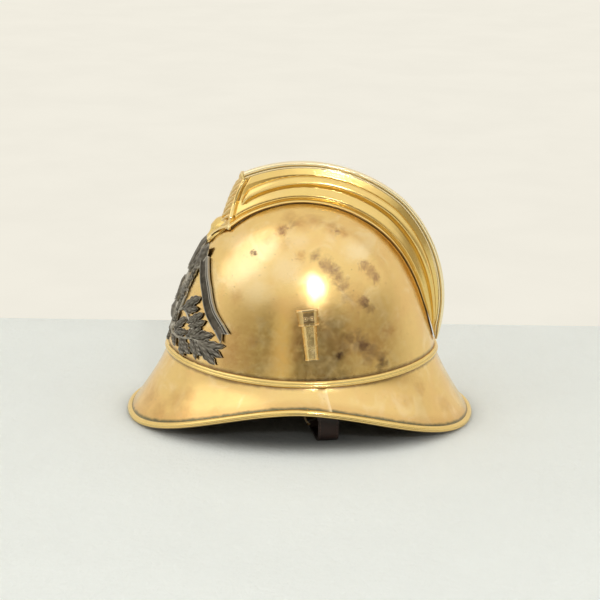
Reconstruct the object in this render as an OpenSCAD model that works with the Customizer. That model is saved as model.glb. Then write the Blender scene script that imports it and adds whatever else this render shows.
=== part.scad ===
// Fire service helmet in stamped sheet brass, standing on its brim.
// Frame: +Z up, ground at z = 0, the front of the helmet faces -Y, the wearer's left is +X.
// All sizes are in millimetres.

/* [Skull] */
// Length of the skull at its base, front to back
skull_l = 263; // [248:1:278]
// Width of the skull at its base
skull_w = 216; // [204:1:228]
// Height of the skull's top above the ground
skull_top = 217; // [208:1:226]
// Height of the base line at the front and the back
base_z = 69.5; // [63:0.5:74]
// How far the base line dips at the sides
base_dip = 8; // [4:0.5:10]
// How far the skull sits behind the middle of the brim
skull_y = 1; // [-3:0.5:4]
// How strongly the skull narrows towards its top
skull_taper = 0.3; // [0.26:0.01:0.34]
// Sheet thickness of the skull
skull_wall = 1.2; // [1:0.1:1.6]

/* [Brim] */
// Length of the brim over its edge, front to back
brim_l = 335.5; // [326:0.5:346]
// Width of the brim over its edge
brim_w = 248; // [240:1:262]
// How far the brim's edge rises at the sides
brim_rise = 36; // [26:0.5:37]
// Sheet thickness of the brim
brim_sheet = 1; // [0.8:0.1:1.4]
// Height of the flange that holds the brim inside the skull
flange_h = 8; // [6:0.5:10]
// Radius of the rolled binding on the brim's edge
binding_r = 3.2; // [2.8:0.1:3.8]
// Radius of the half round bead on the base line
bead_r = 3; // [2.4:0.1:3.6]
// Where the peak laps over the neck guard, behind the middle of the skull
seam_y = 24.5; // [20:0.5:36]

/* [Crest] */
// Height of the crest above the skull's top
crest_rise = 34; // [31:0.5:38]
// Half width of the crest's lip on the skull
lip_x = 20; // [17:0.5:23]
// Half width of the crest at its tail
tail_x = 5.5; // [4.8:0.1:7]
// Sheet thickness of the crest
crest_wall = 1; // [0.8:0.1:1.2]
// Height of the raised gadroon on the crest's sides
relief = 3.8; // [2:0.1:4.2]
// Height of the strip along the ridge
strip_h = 6; // [5:0.5:7]
// How far the front plate bulges forward at its foot
plate_bulge = 6.5; // [5:0.5:8]
// Radius of the studs that hold the crest
stud_r = 2; // [1.6:0.1:2.4]

/* [Plume socket] */
// Height of the plume socket
socket_h = 47; // [40:1:52]
// Width of the plume socket at its mouth
socket_w = 15; // [13:0.5:18]
// Depth of the plume socket at its mouth
socket_d = 9; // [8:0.5:11]
// Wall of the plume socket
socket_wall = 1; // [0.8:0.1:1.4]
// Height of the collar round the mouth of the socket
collar_h = 15; // [11:0.5:18]

/* [Badge] */
// How far the badge's leaves stand proud of their backs
leaf_t = 2.6; // [2:0.1:3.4]
// Width of the ribbon
ribbon_w = 12; // [10:0.5:13]

/* [Liner] */
// Height of the leather band of the liner
liner_h = 32; // [26:1:38]
// Thickness of the leather
leather_t = 2; // [1.6:0.1:2.4]
// How far the band leans in at its top
liner_lean = 14; // [10:1:18]
// Number of tongues
tongues = 8; // [6:1:9]

/* [Chin strap] */
// Width of the chin strap
strap_w = 20; // [16:1:22]
// Thickness of the chin strap
strap_t = 2.2; // [1.8:0.1:2.6]
// Where the straps hang, behind the middle of the skull
strap_y = 29; // [24:1:34]
// Length of the left strap on the ground
left_run = 34; // [26:1:38]
// Length of the right strap on the ground
right_run = 88; // [70:1:96]
// Radius of the wire of the strap rings
ring_r = 1.2; // [1:0.1:1.4]

/* [Hidden] */

BRASS = "#c9a44c";
PEWTER = "#6e6a60";
LEATHER = "#3b2417";

// Clearance between pieces that are soldered, riveted or sewn together
seat = 0.2;
// Running clearance of the pieces that hang and turn
play = 0.3;
// Number of stations round every oval piece
stations = 48;
// Number of rings from the skull's base to its top
skull_rings = 12;
// Share of the brim's half length that touches the ground at each end
rest_share = 0.965;

skull_a = skull_l / 2;
skull_b = skull_w / 2;
brim_a = brim_l / 2;
brim_b = brim_w / 2;
stud_fn = 24;

// Point on an oval: angle 0 is +X and angle 270 is the front, n sets how square the oval is
function oval(t, b, a, n = 2) = [
    b * sign(cos(t)) * pow(abs(cos(t)), 2 / n),
    a * sign(sin(t)) * pow(abs(sin(t)), 2 / n)
];
function station(i) = 360 * i / stations;

// Height of the base line at a station
function base_at(t) = base_z - base_dip * pow(cos(t), 2);
// Share of the base's radius that the skull keeps at the share h of its height
function narrowing(h) = (1 - skull_taper * h) * sqrt(max(0, 1 - pow(h, 4)));
// Point of the skull, moved outwards by d
function skull_point(t, h, d = 0) =
    let (p = oval(t, skull_b + d, skull_a + d) * narrowing(h), z0 = base_at(t))
    [p.x, p.y + skull_y, z0 + h * (skull_top + d - z0)];
// Share of the skull's height at a real height
function share_at(t, z) = (z - base_at(t)) / (skull_top - base_at(t));
// Point at a distance d outside the skull's lower edge and dz above the base line
function base_point(t, d, dz) = let (h = max(0, dz) / (skull_top - base_at(t)))
    skull_point(t, h, d) * [[1, 0, 0], [0, 1, 0], [0, 0, 0]] + [0, 0, base_at(t) + dz];
function unit(v) = v / norm(v);
function skull_normal(t, h) = unit(cross(
    skull_point(t + 0.5, h) - skull_point(t - 0.5, h),
    skull_point(t, h + 0.005) - skull_point(t, h - 0.005)
));

// Solid through a row of closed sections that run clockwise, seen along the row
module sweep(rows, closed = false, flat_ends = false) {
    m = len(rows[0]);
    n = len(rows);
    last = closed ? n - 1 : n - 2;
    sides = [for (j = [0:last], i = [0:m - 1])
        let (a = j * m, b = ((j + 1) % n) * m, k = (i + 1) % m)
        each [[a + i, b + i, b + k], [a + i, b + k, a + k]]];
    strip = [for (i = [0:m / 2 - 2]) each [[i, i + 1, m - 2 - i], [i, m - 2 - i, m - 1 - i]]];
    whole = [[for (i = [0:m - 1]) i]];
    first = flat_ends ? whole : strip;
    back = [for (f = first) [for (i = [len(f) - 1:-1:0]) (n - 1) * m + f[i]]];
    polyhedron(
        points = [for (r = rows, p = r) p],
        faces = closed ? sides : concat(sides, first, back),
        convexity = 8
    );
}

// Section between an outer line, given from top to bottom, and an inner line given the same way
function between(outer, inner) = concat(outer, [for (i = [len(inner) - 1:-1:0]) inner[i]]);

// Places a child on the skull: x along the base line, y up the skull, z out of it
module on_skull(t, z, d = 0) {
    h = share_at(t, z);
    n = skull_normal(t, h);
    x = unit(cross([0, 0, 1], n));
    y = cross(n, x);
    p = skull_point(t, h) + d * n;
    multmatrix([
        [x.x, y.x, n.x, p.x],
        [x.y, y.y, n.y, p.y],
        [x.z, y.z, n.z, p.z],
        [0, 0, 0, 1]
    ]) children();
}

// Skull: one stamped shell, open below
skull_skirt = 1;
function ring_share(k) = 1 - pow(1 - k / skull_rings, 1.7);
function skull_ring(h, d) = [for (i = [0:stations - 1]) skull_point(station(i), h, d)];
function lowered(ring, dz) = [for (p = ring) p - [0, 0, dz]];
module skull_body() {
    n = stations;
    r = skull_rings + 1;
    outer = [lowered(skull_ring(0, 0), skull_skirt), for (k = [0:skull_rings - 1]) skull_ring(ring_share(k), 0)];
    inner = [
        lowered(skull_ring(0, -skull_wall), skull_skirt),
        for (k = [0:skull_rings - 1]) skull_ring(ring_share(k), -skull_wall)
    ];
    // Points in three groups: outer rings, inner rings and the two poles
    in0 = r * n;
    pole = 2 * r * n;
    walls = [for (k = [0:r - 2], i = [0:n - 1])
        let (a = k * n + i, b = k * n + (i + 1) % n)
        each [
            [a, a + n, b + n], [a, b + n, b],
            [in0 + a, in0 + b + n, in0 + a + n], [in0 + a, in0 + b, in0 + b + n]
        ]];
    caps = [for (i = [0:n - 1])
        let (a = (r - 1) * n + i, b = (r - 1) * n + (i + 1) % n)
        each [[a, pole, b], [in0 + a, in0 + b, pole + 1]]];
    foot = [for (i = [0:n - 1])
        let (k = (i + 1) % n)
        each [[i, k, in0 + k], [i, in0 + k, in0 + i]]];
    polyhedron(
        points = [
            for (g = [outer, inner], ring = g) each ring,
            [0, skull_y, skull_top], [0, skull_y, skull_top - skull_wall]
        ],
        faces = concat(walls, caps, foot),
        convexity = 6
    );
}
module skull_shell() {
    color(BRASS) difference() {
        skull_body();
        base_holes();
        crest_stud_places() cylinder(r = stud_r + hole_play, h = 30, center = true, $fn = stud_fn);
        badge_stud_places() cylinder(r = pin_r + hole_play, h = 20, center = true, $fn = stud_fn);
        socket_rivet_places() cylinder(r = pin_r + hole_play, h = 12, center = true, $fn = stud_fn);
    }
}

// Layers inside the skull's lower edge: brim flange, hoop, then leather or strap staples
hoop_t = 1;
flange_d = skull_wall + seat;
hoop_d = flange_d + brim_sheet + seat;
layer_d = hoop_d + hoop_t + seat;

// Brim: the peak in front and the neck guard behind, from the flange inside the skull to the edge
brim_steps = 5;
brim_flare = 1.25;
brim_rings = brim_steps + 2;
function edge_z(y) =
    binding_r + brim_rise * pow(1 - min(1, pow(abs(y) / (brim_a * rest_share), 1.8)), 1.5);
// Middle of the binding at a station, and its directions outwards and along the edge
function edge_point(t) = let (p = oval(t, brim_b, brim_a, 2.13)) [p.x, p.y, edge_z(p.y)];
function edge_along(t) = unit(edge_point(t + 0.5) - edge_point(t - 0.5));
function edge_out(t) = let (d = edge_along(t)) unit([d.y, -d.x, 0]);
// Point of the brim's middle surface, k counted from the flange's top
function brim_free(t, k) =
    let (
        m = flange_d + brim_sheet / 2,
        low = skull_skirt + brim_sheet / 2,
        foot = base_point(t, 0.4, -low - 1.9),
        edge = edge_point(t),
        v = (k - 2) / brim_steps,
        flat = foot + (edge - foot) * pow(max(v, 0), brim_flare)
    )
    k == 0 ? base_point(t, -m, flange_h)
    : k == 1 ? base_point(t, -m, -low)
    : [flat.x, flat.y, foot.z + (edge.z - foot.z) * v];
// Direction from the binding's middle up the sheet, in the upright plane across the edge
function sheet_dir(t) =
    let (
        b = brim_free(t, brim_rings - 1) - edge_point(t),
        along = edge_along(t),
        flat = unit([along.x, along.y, 0])
    )
    unit(b - along * ((b * flat) / (along * flat)));
groove_floor = 0.3;
function brim_middle(t, k) = k < brim_rings ? brim_free(t, k)
    : edge_point(t) + sheet_dir(t) * (binding_r * groove_floor + seat);
function brim_normal(t, k) = unit(cross(
    brim_middle(t, min(k + 1, brim_rings)) - brim_middle(t, max(k - 1, 0)),
    brim_middle(t + 0.5, k) - brim_middle(t - 0.5, k)
));
function brim_face(t, d) = [for (k = [0:brim_rings]) brim_middle(t, k) + d * brim_normal(t, k)];
function brim_section(t) = between(brim_face(t, brim_sheet / 2), brim_face(t, -brim_sheet / 2));
// Shared stations between two angles, with the two angles at the ends
function arc_stations(t0, t1) =
    let (w = 360 / stations, e = 0.6)
    concat([t0], [for (i = [ceil((t0 + e) / w):floor((t1 - e) / w)]) i * w], [t1]);
seam_a = asin((seam_y - skull_y) / skull_a);
seam_gap = 0.05;
// Stations of the whole rim, with the two ends of the seam among them
function all_but_last(v) = [for (i = [0:len(v) - 2]) v[i]];
rim_stations = concat(
    all_but_last(arc_stations(seam_a, 180 - seam_a)),
    all_but_last(arc_stations(180 - seam_a, 360 + seam_a))
);
module brim_part(t0, t1) {
    difference() {
        sweep([for (t = arc_stations(t0, t1)) brim_section(t)]);
        base_holes();
    }
}
module front_peak() {
    color(BRASS) brim_part(180 - seam_a + seam_gap, 360 + seam_a - seam_gap);
}
module neck_guard() {
    color(BRASS) brim_part(seam_a + seam_gap, 180 - seam_a - seam_gap);
}

// Binding: a rolled bead, flat below, with a groove that takes the edge of the sheet
module brim_binding() {
    half = brim_sheet / 2 + seat;
    mouth = sqrt(pow(binding_r, 2) - pow(half, 2));
    low = binding_r * groove_floor;
    function in_plane(t, x, z) = edge_point(t) + edge_out(t) * x + [0, 0, z];
    function on_groove(t, along, side) =
        let (d = sheet_dir(t), x = d * edge_out(t), z = d.z)
        in_plane(t, x * along + z * side, z * along - x * side);
    function section(t) = concat(
        [on_groove(t, mouth, half)],
        [for (a = [72, 36, 0, -36]) in_plane(t, binding_r * cos(a), binding_r * sin(a))],
        [for (x = [1, -1]) in_plane(t, x * binding_r * 0.4, -binding_r)],
        [for (a = [-144, -184]) in_plane(t, binding_r * cos(a), binding_r * sin(a))],
        [on_groove(t, mouth, -half), on_groove(t, low, -half), on_groove(t, low, half)]
    );
    color(BRASS) sweep([for (t = rim_stations) section(t)], closed = true);
}

// Bead: a hollow half round that hides the rivets of the base line
bead_wall = 0.9;
module base_bead() {
    angles = [90, 55, 20, -15, -45, -70];
    function face(t, r) = [for (a = angles) base_point(t, seat + r * cos(a), r * sin(a))];
    color(BRASS) sweep([for (i = [0:stations - 1])
        between(face(station(i), bead_r), face(station(i), bead_r - bead_wall))], closed = true);
}

// Rivets of the base line, under the bead: they hold skull, brim and hoop together
rivet_r = 0.8;
hole_play = 0.1;
rivet_head = 0.6;
rivet_dz = 0.4;
base_rivets_n = 12;
// Places a child on the base line: z outwards, y up, at the skull's outer face
module on_base(t, dz = 0) {
    translate(base_point(t, 0, dz)) rotate([0, 0, atan2(sin(t) / skull_a, cos(t) / skull_b)])
        rotate([90, 0, 90]) children();
}
module base_rivet_places() {
    for (i = [0:base_rivets_n - 1]) on_base(360 * i / base_rivets_n, rivet_dz) children();
}
module staple_rivet_places() {
    for (side = [0, 1], y = [-staple_rivet_y, staple_rivet_y]) mirror([side, 0, 0]) strap_frame()
        translate([layer_d + staple_bulge, y, rivet_dz]) rotate([90, 0, 90]) children();
}
module base_holes() {
    base_rivet_places() cylinder(r = rivet_r + hole_play, h = 9, center = true, $fn = stud_fn);
    staple_rivet_places() cylinder(r = rivet_r + hole_play, h = 16, center = true, $fn = stud_fn);
}
// Rivet with its outer head on the skull and its inner head at a depth
module rivet(depth) {
    translate([0, 0, -depth]) cylinder(r = rivet_r, h = depth + 0.1, $fn = stud_fn);
    translate([0, 0, 0.1]) cylinder(r = 1.6 * rivet_r, h = rivet_head, $fn = stud_fn);
    translate([0, 0, -depth - 0.5]) cylinder(r = 1.6 * rivet_r, h = 0.5, $fn = stud_fn);
}
module base_rivets() {
    color(BRASS) {
        base_rivet_places() rivet(layer_d + 0.3);
        staple_rivet_places() rivet(layer_d + staple_bulge + plate_t + 0.1);
    }
}
// Crest: described by an angle p about a centre over the helmet, 0 towards the back, 90 upwards
crest_y = 0.4;
crest_z = 100;
crest_front = 113;
crest_foot_p = 128.3;
crest_tail = -10.4;
tail_from = 50;
tail_lift = 3.4;
tail_curve = 1.11;
crest_stations = 18;
crest_steps = [0, 0.013, 0.032, 0.05];
crest_r = skull_top + crest_rise - crest_z;
function polar(p, x, r) = [x, crest_y + r * cos(p), crest_z + r * sin(p)];
function in_skull(q, d) =
    let (
        u = q.x / (skull_b + d), v = (q.y - skull_y) / (skull_a + d),
        c = u * u / max(0.0001, u * u + v * v),
        z0 = base_z - base_dip * c,
        h = (q.z - z0) / (skull_top + d - z0)
    )
    h < 1 && sqrt(u * u + v * v) < narrowing(max(h, 0));
// Distance from the crest's centre to the skull's surface moved out by d
function skull_r(p, x, d, lo = 40, hi = 170, n = 16) =
    let (m = (lo + hi) / 2)
    n == 0 ? m : in_skull(polar(p, x, m), d) ? skull_r(p, x, d, m, hi, n - 1) : skull_r(p, x, d, lo, m, n - 1);
tail_r = skull_r(crest_tail, 0, tail_lift);
// Distance from the centre to the top of the strip
function ridge_r(p) = crest_r - (p >= tail_from ? 0 :
    (crest_r - tail_r) * pow((tail_from - p) / (tail_from - crest_tail), tail_curve));
// Half width of the crest on the skull, narrow towards the tail
function foot_x(p) = tail_x + (lip_x - tail_x) * pow(min(1, max(0, (p - crest_tail) / 70)), 0.8);
tongue_x = stud_r;
tongue_h = 3;
// Share of the strip's full height that is left above the skull, below 1 only near the tail
function strip_share(p) = min(1, (ridge_r(p) - skull_r(p, 0, seat)) / (strip_h + tongue_h + 1.5));
side_x = tongue_x + seat + crest_wall;
strip_x = side_x + 1;
// Angle at a share u of the crest's length and a share s of its height
function crest_angle(u, s) =
    let (f = crest_foot_p + (crest_front - crest_foot_p) * s) f + (crest_tail - f) * u;
crest_u = [for (c = crest_steps) c, for (i = [2:crest_stations]) i / crest_stations];
// Outline of a side from the strip down to the lip: share of height, flare, relief
side_shares = [1, 0.8, 0.775, 0.7, 0.6, 0.5, 0.455, 0.43, 0.19, 0.12, 0.065, 0];
flare_at = [[0, 1], [0.065, 0.88], [0.12, 0.62], [0.19, 0.5], [0.43, 0.3], [0.6, 0.19], [0.8, 0.1], [1, 0]];
relief_at = [[0, 0], [0.43, 0], [0.455, 0.7], [0.5, 0.95], [0.6, 1.1], [0.7, 0.95], [0.775, 0.65], [0.8, 0], [1, 0]];
nose_u = 0.026;
function crest_point(u, s, d) =
    let (
        p = crest_angle(u, s),
        low = skull_r(p, foot_x(p), seat + 0.1),
        high = ridge_r(p) - strip_h * strip_share(p) - seat,
        fade = min(1, (high - low) / 26) * min(1, max(0, (u - nose_u / 2) / (nose_u / 2))),
        x = side_x + max(0, foot_x(p) - side_x) * lookup(s, flare_at) + relief * fade * lookup(s, relief_at),
        fold = s == 0 && d > 0 ? crest_wall : 0
    )
    polar(p, x - d, low + (high - low) * s + fold);
module crest_side() {
    sweep([for (u = crest_u) between(
        [for (s = side_shares) crest_point(u, s, 0)],
        [for (s = side_shares) crest_point(u, s, crest_wall)]
    )]);
}
module crest_left_side() { color(BRASS) crest_side(); }
module crest_right_side() { color(BRASS) mirror([1, 0, 0]) crest_side(); }

// Strip along the ridge: two rolls over a tongue that stands between the sides
module crest_top_strip() {
    x = strip_x;
    h = strip_h;
    half = [
        [0.1 * x, 0], [0.55 * x, -0.08 * h], [0.84 * x, -0.28 * h], [0.86 * x, -0.5 * h], [0.7 * x, -0.6 * h],
        [x, -0.72 * h], [x, -h], [tongue_x, -h], [tongue_x, -h - tongue_h]
    ];
    function line(p, side) = [for (q = half) polar(p, side * q.x, ridge_r(p) + q.y * strip_share(p))];
    color(BRASS) sweep([for (u = crest_u) let (p = crest_angle(u, 1)) between(line(p, 1), line(p, -1))],
        flat_ends = true);
}

// Front plate: a bulged mask over the front of the crest
plate_rows = 8;
plate_cols = 12;
plate_top = 0.88;
// Edge of the plate at a share f of its height: the side's front edge, then the strip's end
function plate_edge(f) =
    let (k = (f - plate_top) / (1 - plate_top), e = crest_point(0, min(f / plate_top, 1), 0))
    k <= 0 ? e : e + (polar(crest_front, side_x, crest_r - 0.6) - e) * k;
function plate_point(f, q, d) =
    let (
        e = plate_edge(f),
        rib = 0.8 * cos(540 * q) * min(1, 4 * f * (1 - f)),
        out = 0.6 + (plate_bulge * pow(1 - f, 3) + 1 + rib) * (1 - pow(abs(q), 2.2))
    )
    [(e.x + 0.6) * q, e.y - out - d, e.z - 0.1 * d];
module crest_front_plate() {
    function line(q, d) = [for (i = [plate_rows:-1:0]) plate_point(i / plate_rows, q, d)];
    color(BRASS) sweep([for (j = [-plate_cols / 2:plate_cols / 2])
        let (q = j / plate_cols * 2) between(line(q, crest_wall), line(q, 0))]);
}

// Foot of the crest: a boss that runs down from the front plate to the badge
foot_rows = 7;
foot_top = 188.8;
foot_low = 172;
function front_y(x, z, d) =
    let (
        h = (z - base_z) / (skull_top + d - base_z),
        r = narrowing(h)
    )
    skull_y - (skull_a + d) * sqrt(max(0.01, pow(r, 2) - pow(x / (skull_b + d), 2)));
module crest_foot() {
    function width(f) = 8 + 9 * pow(1 - f, 0.7);
    function depth(f) = lookup(f, [[0, 12.7], [0.11, 11.4], [0.43, 6.2], [0.87, 3.9], [1, 2]]);
    function point(f, q, d) =
        let (z = foot_top + (foot_low - foot_top) * f, x = width(f) * q)
        [x, front_y(x, z, seat) - (d > 0 ? 1 + depth(f) * (1 - pow(abs(q), 2)) : 0), z];
    function line(q, d) = [for (i = [0:foot_rows]) point(i / foot_rows, q, d)];
    color(BRASS) sweep([for (j = [-5:5]) between(line(j / 5, 1), line(j / 5, 0))]);
}

// Studs from the strip's tongue through the skull, with six sided nuts inside
crest_stud_p = [100, 62, 26];
nut_h = 3.2;
nut_r = 4;
// Distance of a flat nut from the hollow of the skull
nut_seat = 0.6;
module on_ridge(p, r) {
    translate(polar(p, 0, r)) rotate([p - 90, 0, 0]) children();
}
module crest_stud_places() {
    for (p = crest_stud_p) on_ridge(p, skull_r(p, 0, 0)) children();
}
module crest_studs() {
    color(BRASS) for (p = crest_stud_p)
        let (top = ridge_r(p) - strip_h - tongue_h - nut_seat, low = skull_r(p, 0, -skull_wall) - nut_h - 2)
        on_ridge(p, low) cylinder(r = stud_r, h = top - low, $fn = stud_fn);
}
module crest_nuts() {
    color(BRASS) for (p = crest_stud_p)
        on_ridge(p, skull_r(p, 0, -skull_wall) - nut_h - nut_seat) difference() {
            cylinder(r = nut_r, h = nut_h, $fn = 6);
            translate([0, 0, -1]) cylinder(r = stud_r + 0.05, h = nut_h + 2, $fn = stud_fn);
        }
}

// Badge: an openwork wreath with a ribbon, standing on the front of the skull
pin_r = 1.2;
badge_gap = 0.4;
badge_base = 1;
badge_stud_at = [[20, 152.5], [29, 104]];
module leaf(l, w) {
    hull() {
        linear_extrude(badge_base) polygon([
            [0, 0], [0.3 * l, w / 2], [0.65 * l, 0.4 * w], [l, 0], [0.65 * l, -0.4 * w], [0.3 * l, -w / 2]
        ]);
        translate([0.12 * l, -0.2, 0]) cube([0.6 * l, 0.4, leaf_t]);
    }
}
// Leaf at an angle g from the front and a height z, turned by a
module badge_leaf(g, z, a, l, w, d = 0) {
    on_skull(270 + g, z, badge_gap + d) rotate([0, 0, a]) leaf(l, w);
}
module ribbon_end(g, z, a) {
    w = ribbon_w / 2;
    on_skull(270 + g, z, badge_gap + 1) rotate([0, 0, a]) linear_extrude(1.8)
        polygon([[-4, w], [11, w], [7, 0], [14, -w], [-4, -w]]);
}
// Stem of square wire along points of angle from the front and height
module badge_stem(path, w = 1.3, h = 1.5) {
    n = len(path);
    function place(i) = skull_point(270 + path[i][0], share_at(270 + path[i][0], path[i][1]));
    function out(i) = skull_normal(270 + path[i][0], share_at(270 + path[i][0], path[i][1]));
    function side(i) = unit(cross(out(i), place(min(i + 1, n - 1)) - place(max(i - 1, 0))));
    section = [[-w, badge_gap], [w, badge_gap], [w, badge_gap + h], [-w, badge_gap + h]];
    sweep([for (i = [0:n - 1]) [for (q = section) place(i) + side(i) * q.x + out(i) * q.y]]);
}
ribbon_path = [[22, 160], [27, 153], [32, 144], [36.5, 135.5], [40.3, 125.5], [44, 117], [47.5, 111], [51.3, 106.5]];
module badge_ribbon() {
    n = len(ribbon_path);
    function middle(i) = skull_point(270 + ribbon_path[i][0], share_at(270 + ribbon_path[i][0], ribbon_path[i][1]));
    function normal(i) = skull_normal(270 + ribbon_path[i][0], share_at(270 + ribbon_path[i][0], ribbon_path[i][1]));
    function across(i) = unit(cross(normal(i), middle(min(i + 1, n - 1)) - middle(max(i - 1, 0))));
    w = ribbon_w / 2;
    edge = 1.4;
    low = badge_gap + 0.8;
    high = low + 1.2;
    rim = high + 0.7;
    section = [
        [-w, low], [w, low], [w, rim], [w - edge, rim],
        [w - edge, high], [-w + edge, high], [-w + edge, rim], [-w, rim]
    ];
    sweep([for (i = [0:n - 1]) [for (q = section) middle(i) + across(i) * q.x + normal(i) * q.y]]);
}
module badge_half() {
    badge_ribbon();
    ribbon_end(51.3, 108.5, -55);
    // Pointed cap where the ribbon starts
    badge_leaf(14, 151, 86, 23, 15, 0.3);
    badge_leaf(4, 143, 92, 34, 12, 0.2);
    badge_stem([[12, 127], [8, 135], [4, 143], [4, 152]]);
    // Trunk of the upper spray with its scales
    badge_stem([[5, 86], [8, 95], [10, 108], [12, 122], [12, 136], [13.5, 152]]);
    badge_stem([[9, 86], [11, 93], [13, 103], [15, 113], [16.5, 123], [15, 133], [15, 143], [18, 151], [24, 156]]);
    for (k = [0:4]) badge_leaf(8 + 1.2 * k, 88 + 13 * k, 84, 17, 5);
    for (k = [0:4]) badge_leaf(9.5 + 1.4 * k, 94 + 11 * k, 56 + 5 * k, 16, 8, 0.5);
    // Two pairs of leaves on a branch of the trunk
    badge_stem([[14, 108], [19, 112], [24, 110], [29, 104], [33, 98], [36, 92]]);
    badge_leaf(19.5, 111.8, 39, 29, 9.5, 0.2);
    badge_leaf(20, 111.5, 17, 26, 8, 0.3);
    badge_leaf(28, 101.5, 40, 24, 8, 0.2);
    badge_leaf(30, 99.5, 28, 23, 8, 0.3);
    // Lower spray, a fan from down to sideways
    badge_stem([[-1, 88], [5, 87], [12, 84.4], [18, 84.5], [25, 85.5], [31, 88.5], [36, 89.5], [41, 88.8]]);
    badge_stem([[8.5, 98], [13, 92.5], [18.5, 85]]);
    for (f = lower_leaves) badge_leaf(f[0], f[1], f[2], f[3], f[4], 0.2);
}
// Leaves of the lower spray: angle from the front, height, turn, length, width
lower_leaves = [
    [9, 87, -96, 13, 8.6], [14.5, 84, -31, 16, 7], [15.3, 89.6, 42, 27, 8], [16, 88, 17, 27, 7],
    [24.5, 86, -48, 19.5, 10], [25, 85.5, -25, 23, 8], [30, 89.5, 39, 22, 10], [34, 90.5, 20, 28, 9],
    [33.5, 88.5, -49, 21.5, 7], [37.5, 89, -46, 17, 7], [39.5, 89, 6, 31, 8], [39.5, 89, -15, 31.5, 8.5],
    [39.5, 88.5, -32, 30, 9]
];
module badge_trophy() {
    // Flaming grenade before two crossed axes
    on_skull(270, 102, badge_gap) scale([1, 1, 0.6]) sphere(r = 11, $fn = 20);
    for (a = [-24, 0, 24]) badge_leaf(0, 108, 90 + a, 30 - abs(a) / 3, 9, 2);
    for (s = [1, -1]) on_skull(270, 112, badge_gap + 0.6) rotate([0, 0, 90 + 38 * s]) {
        translate([-30, -1.6, 0]) cube([58, 3.2, 2.4]);
        hull() {
            translate([20, 0, 0]) cube([5, 1, 2]);
            translate([16, 10 * s, 0]) cube([13, 1, 1.2]);
        }
    }
}
module badge() {
    color(PEWTER) {
        badge_half();
        mirror([1, 0, 0]) badge_half();
        difference() {
            badge_trophy();
            skull_clear();
        }
    }
}
// Block of the skull's outside, moved out by the badge's seat
module skull_clear() {
    t = [for (i = [0:20]) 200 + 7 * i];
    z = [for (k = [0:9]) 50 + 15 * k];
    sweep([for (a = t) between(
        [for (k = [9:-1:0]) skull_point(a, share_at(a, z[k]), seat)],
        [for (k = [9:-1:0]) skull_point(a, share_at(a, z[k]), -12)]
    )]);
}
module badge_stud_places() {
    for (side = [1, -1], g = badge_stud_at) on_skull(270 + side * g[0], g[1]) children();
}
module badge_studs() {
    color(BRASS) badge_stud_places()
        translate([0, 0, -skull_wall - 4]) cylinder(r = pin_r, h = skull_wall + 4 + seat, $fn = stud_fn);
}
module badge_nuts() {
    color(BRASS) badge_stud_places() translate([0, 0, -skull_wall - nut_seat - 2]) difference() {
        cylinder(r = 3, h = 2, $fn = 6);
        translate([0, 0, -1]) cylinder(r = pin_r + 0.05, h = 4, $fn = stud_fn);
    }
}

// Plume socket: a tapered tube with a flat front facet and two bevels
socket_t = 3.5;
socket_z = 107;
socket_lean = 5.3;
module at_socket() {
    on_skull(socket_t, socket_z, 0.3) rotate([0, 0, socket_lean]) translate([0, -socket_h / 2, 0]) children();
}
function socket_outline(w, d, y) = [for (q = [
    [-0.5, 0], [-0.5, 0.4], [-0.27, 1], [0.27, 1], [0.5, 0.4], [0.5, 0]
]) [w * q.x, y, d * q.y]];
module tapered(w0, d0, w1, d1, y0, y1) {
    sweep([socket_outline(w0, d0, y0), socket_outline(w1, d1, y1)], flat_ends = true);
}
foot_scale = 0.8;
module plume_socket() {
    c = socket_wall;
    color(BRASS) difference() {
        at_socket() tapered(socket_w * foot_scale, socket_d * foot_scale, socket_w, socket_d, 0, socket_h);
        at_socket() translate([0, 0, c]) tapered(socket_w * foot_scale - 2 * c, socket_d * foot_scale - 2 * c,
            socket_w - 2 * c, socket_d - 2 * c, 2, socket_h + 1);
        socket_rivet_places() cylinder(r = pin_r + hole_play, h = 4, center = true, $fn = stud_fn);
    }
}
module plume_socket_collar() {
    c = socket_wall + 0.3;
    y0 = socket_h - collar_h;
    color(BRASS) difference() {
        at_socket() {
            tapered(socket_w + 3, socket_d + 1.4, socket_w + 5, socket_d + 2, y0, socket_h + 0.5);
            for (x = [-3.4, 3.4]) translate([x, y0 + collar_h * 0.46, socket_d + 1])
                cylinder(r = 1.9, h = 1.4, $fn = stud_fn);
            for (a = [45, -45]) translate([0, y0 + collar_h * 0.46, socket_d + 1.6]) rotate([0, 0, a])
                cube([0.8, 7, 1.4], center = true);
        }
        at_socket() translate([0, 0, -1]) tapered(socket_w + 3 * seat, socket_d + 1 + 2 * seat,
            socket_w + 3 * seat, socket_d + 1 + 2 * seat, y0 - 5, socket_h + 5);
    }
}
socket_rivet_up = [10, 26];
module socket_rivet_places() {
    for (y = socket_rivet_up) at_socket() translate([0, y, 0]) children();
}
module socket_rivets() {
    color(BRASS) socket_rivet_places() {
        translate([0, 0, -skull_wall - 1.6]) cylinder(r = pin_r, h = skull_wall + 1.6 + socket_wall + 0.1, $fn = stud_fn);
        translate([0, 0, socket_wall + 0.05]) cylinder(r = 2, h = 0.7, $fn = stud_fn);
        translate([0, 0, -skull_wall - 2.3]) cylinder(r = 2.2, h = 0.8, $fn = stud_fn);
    }
}

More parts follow.
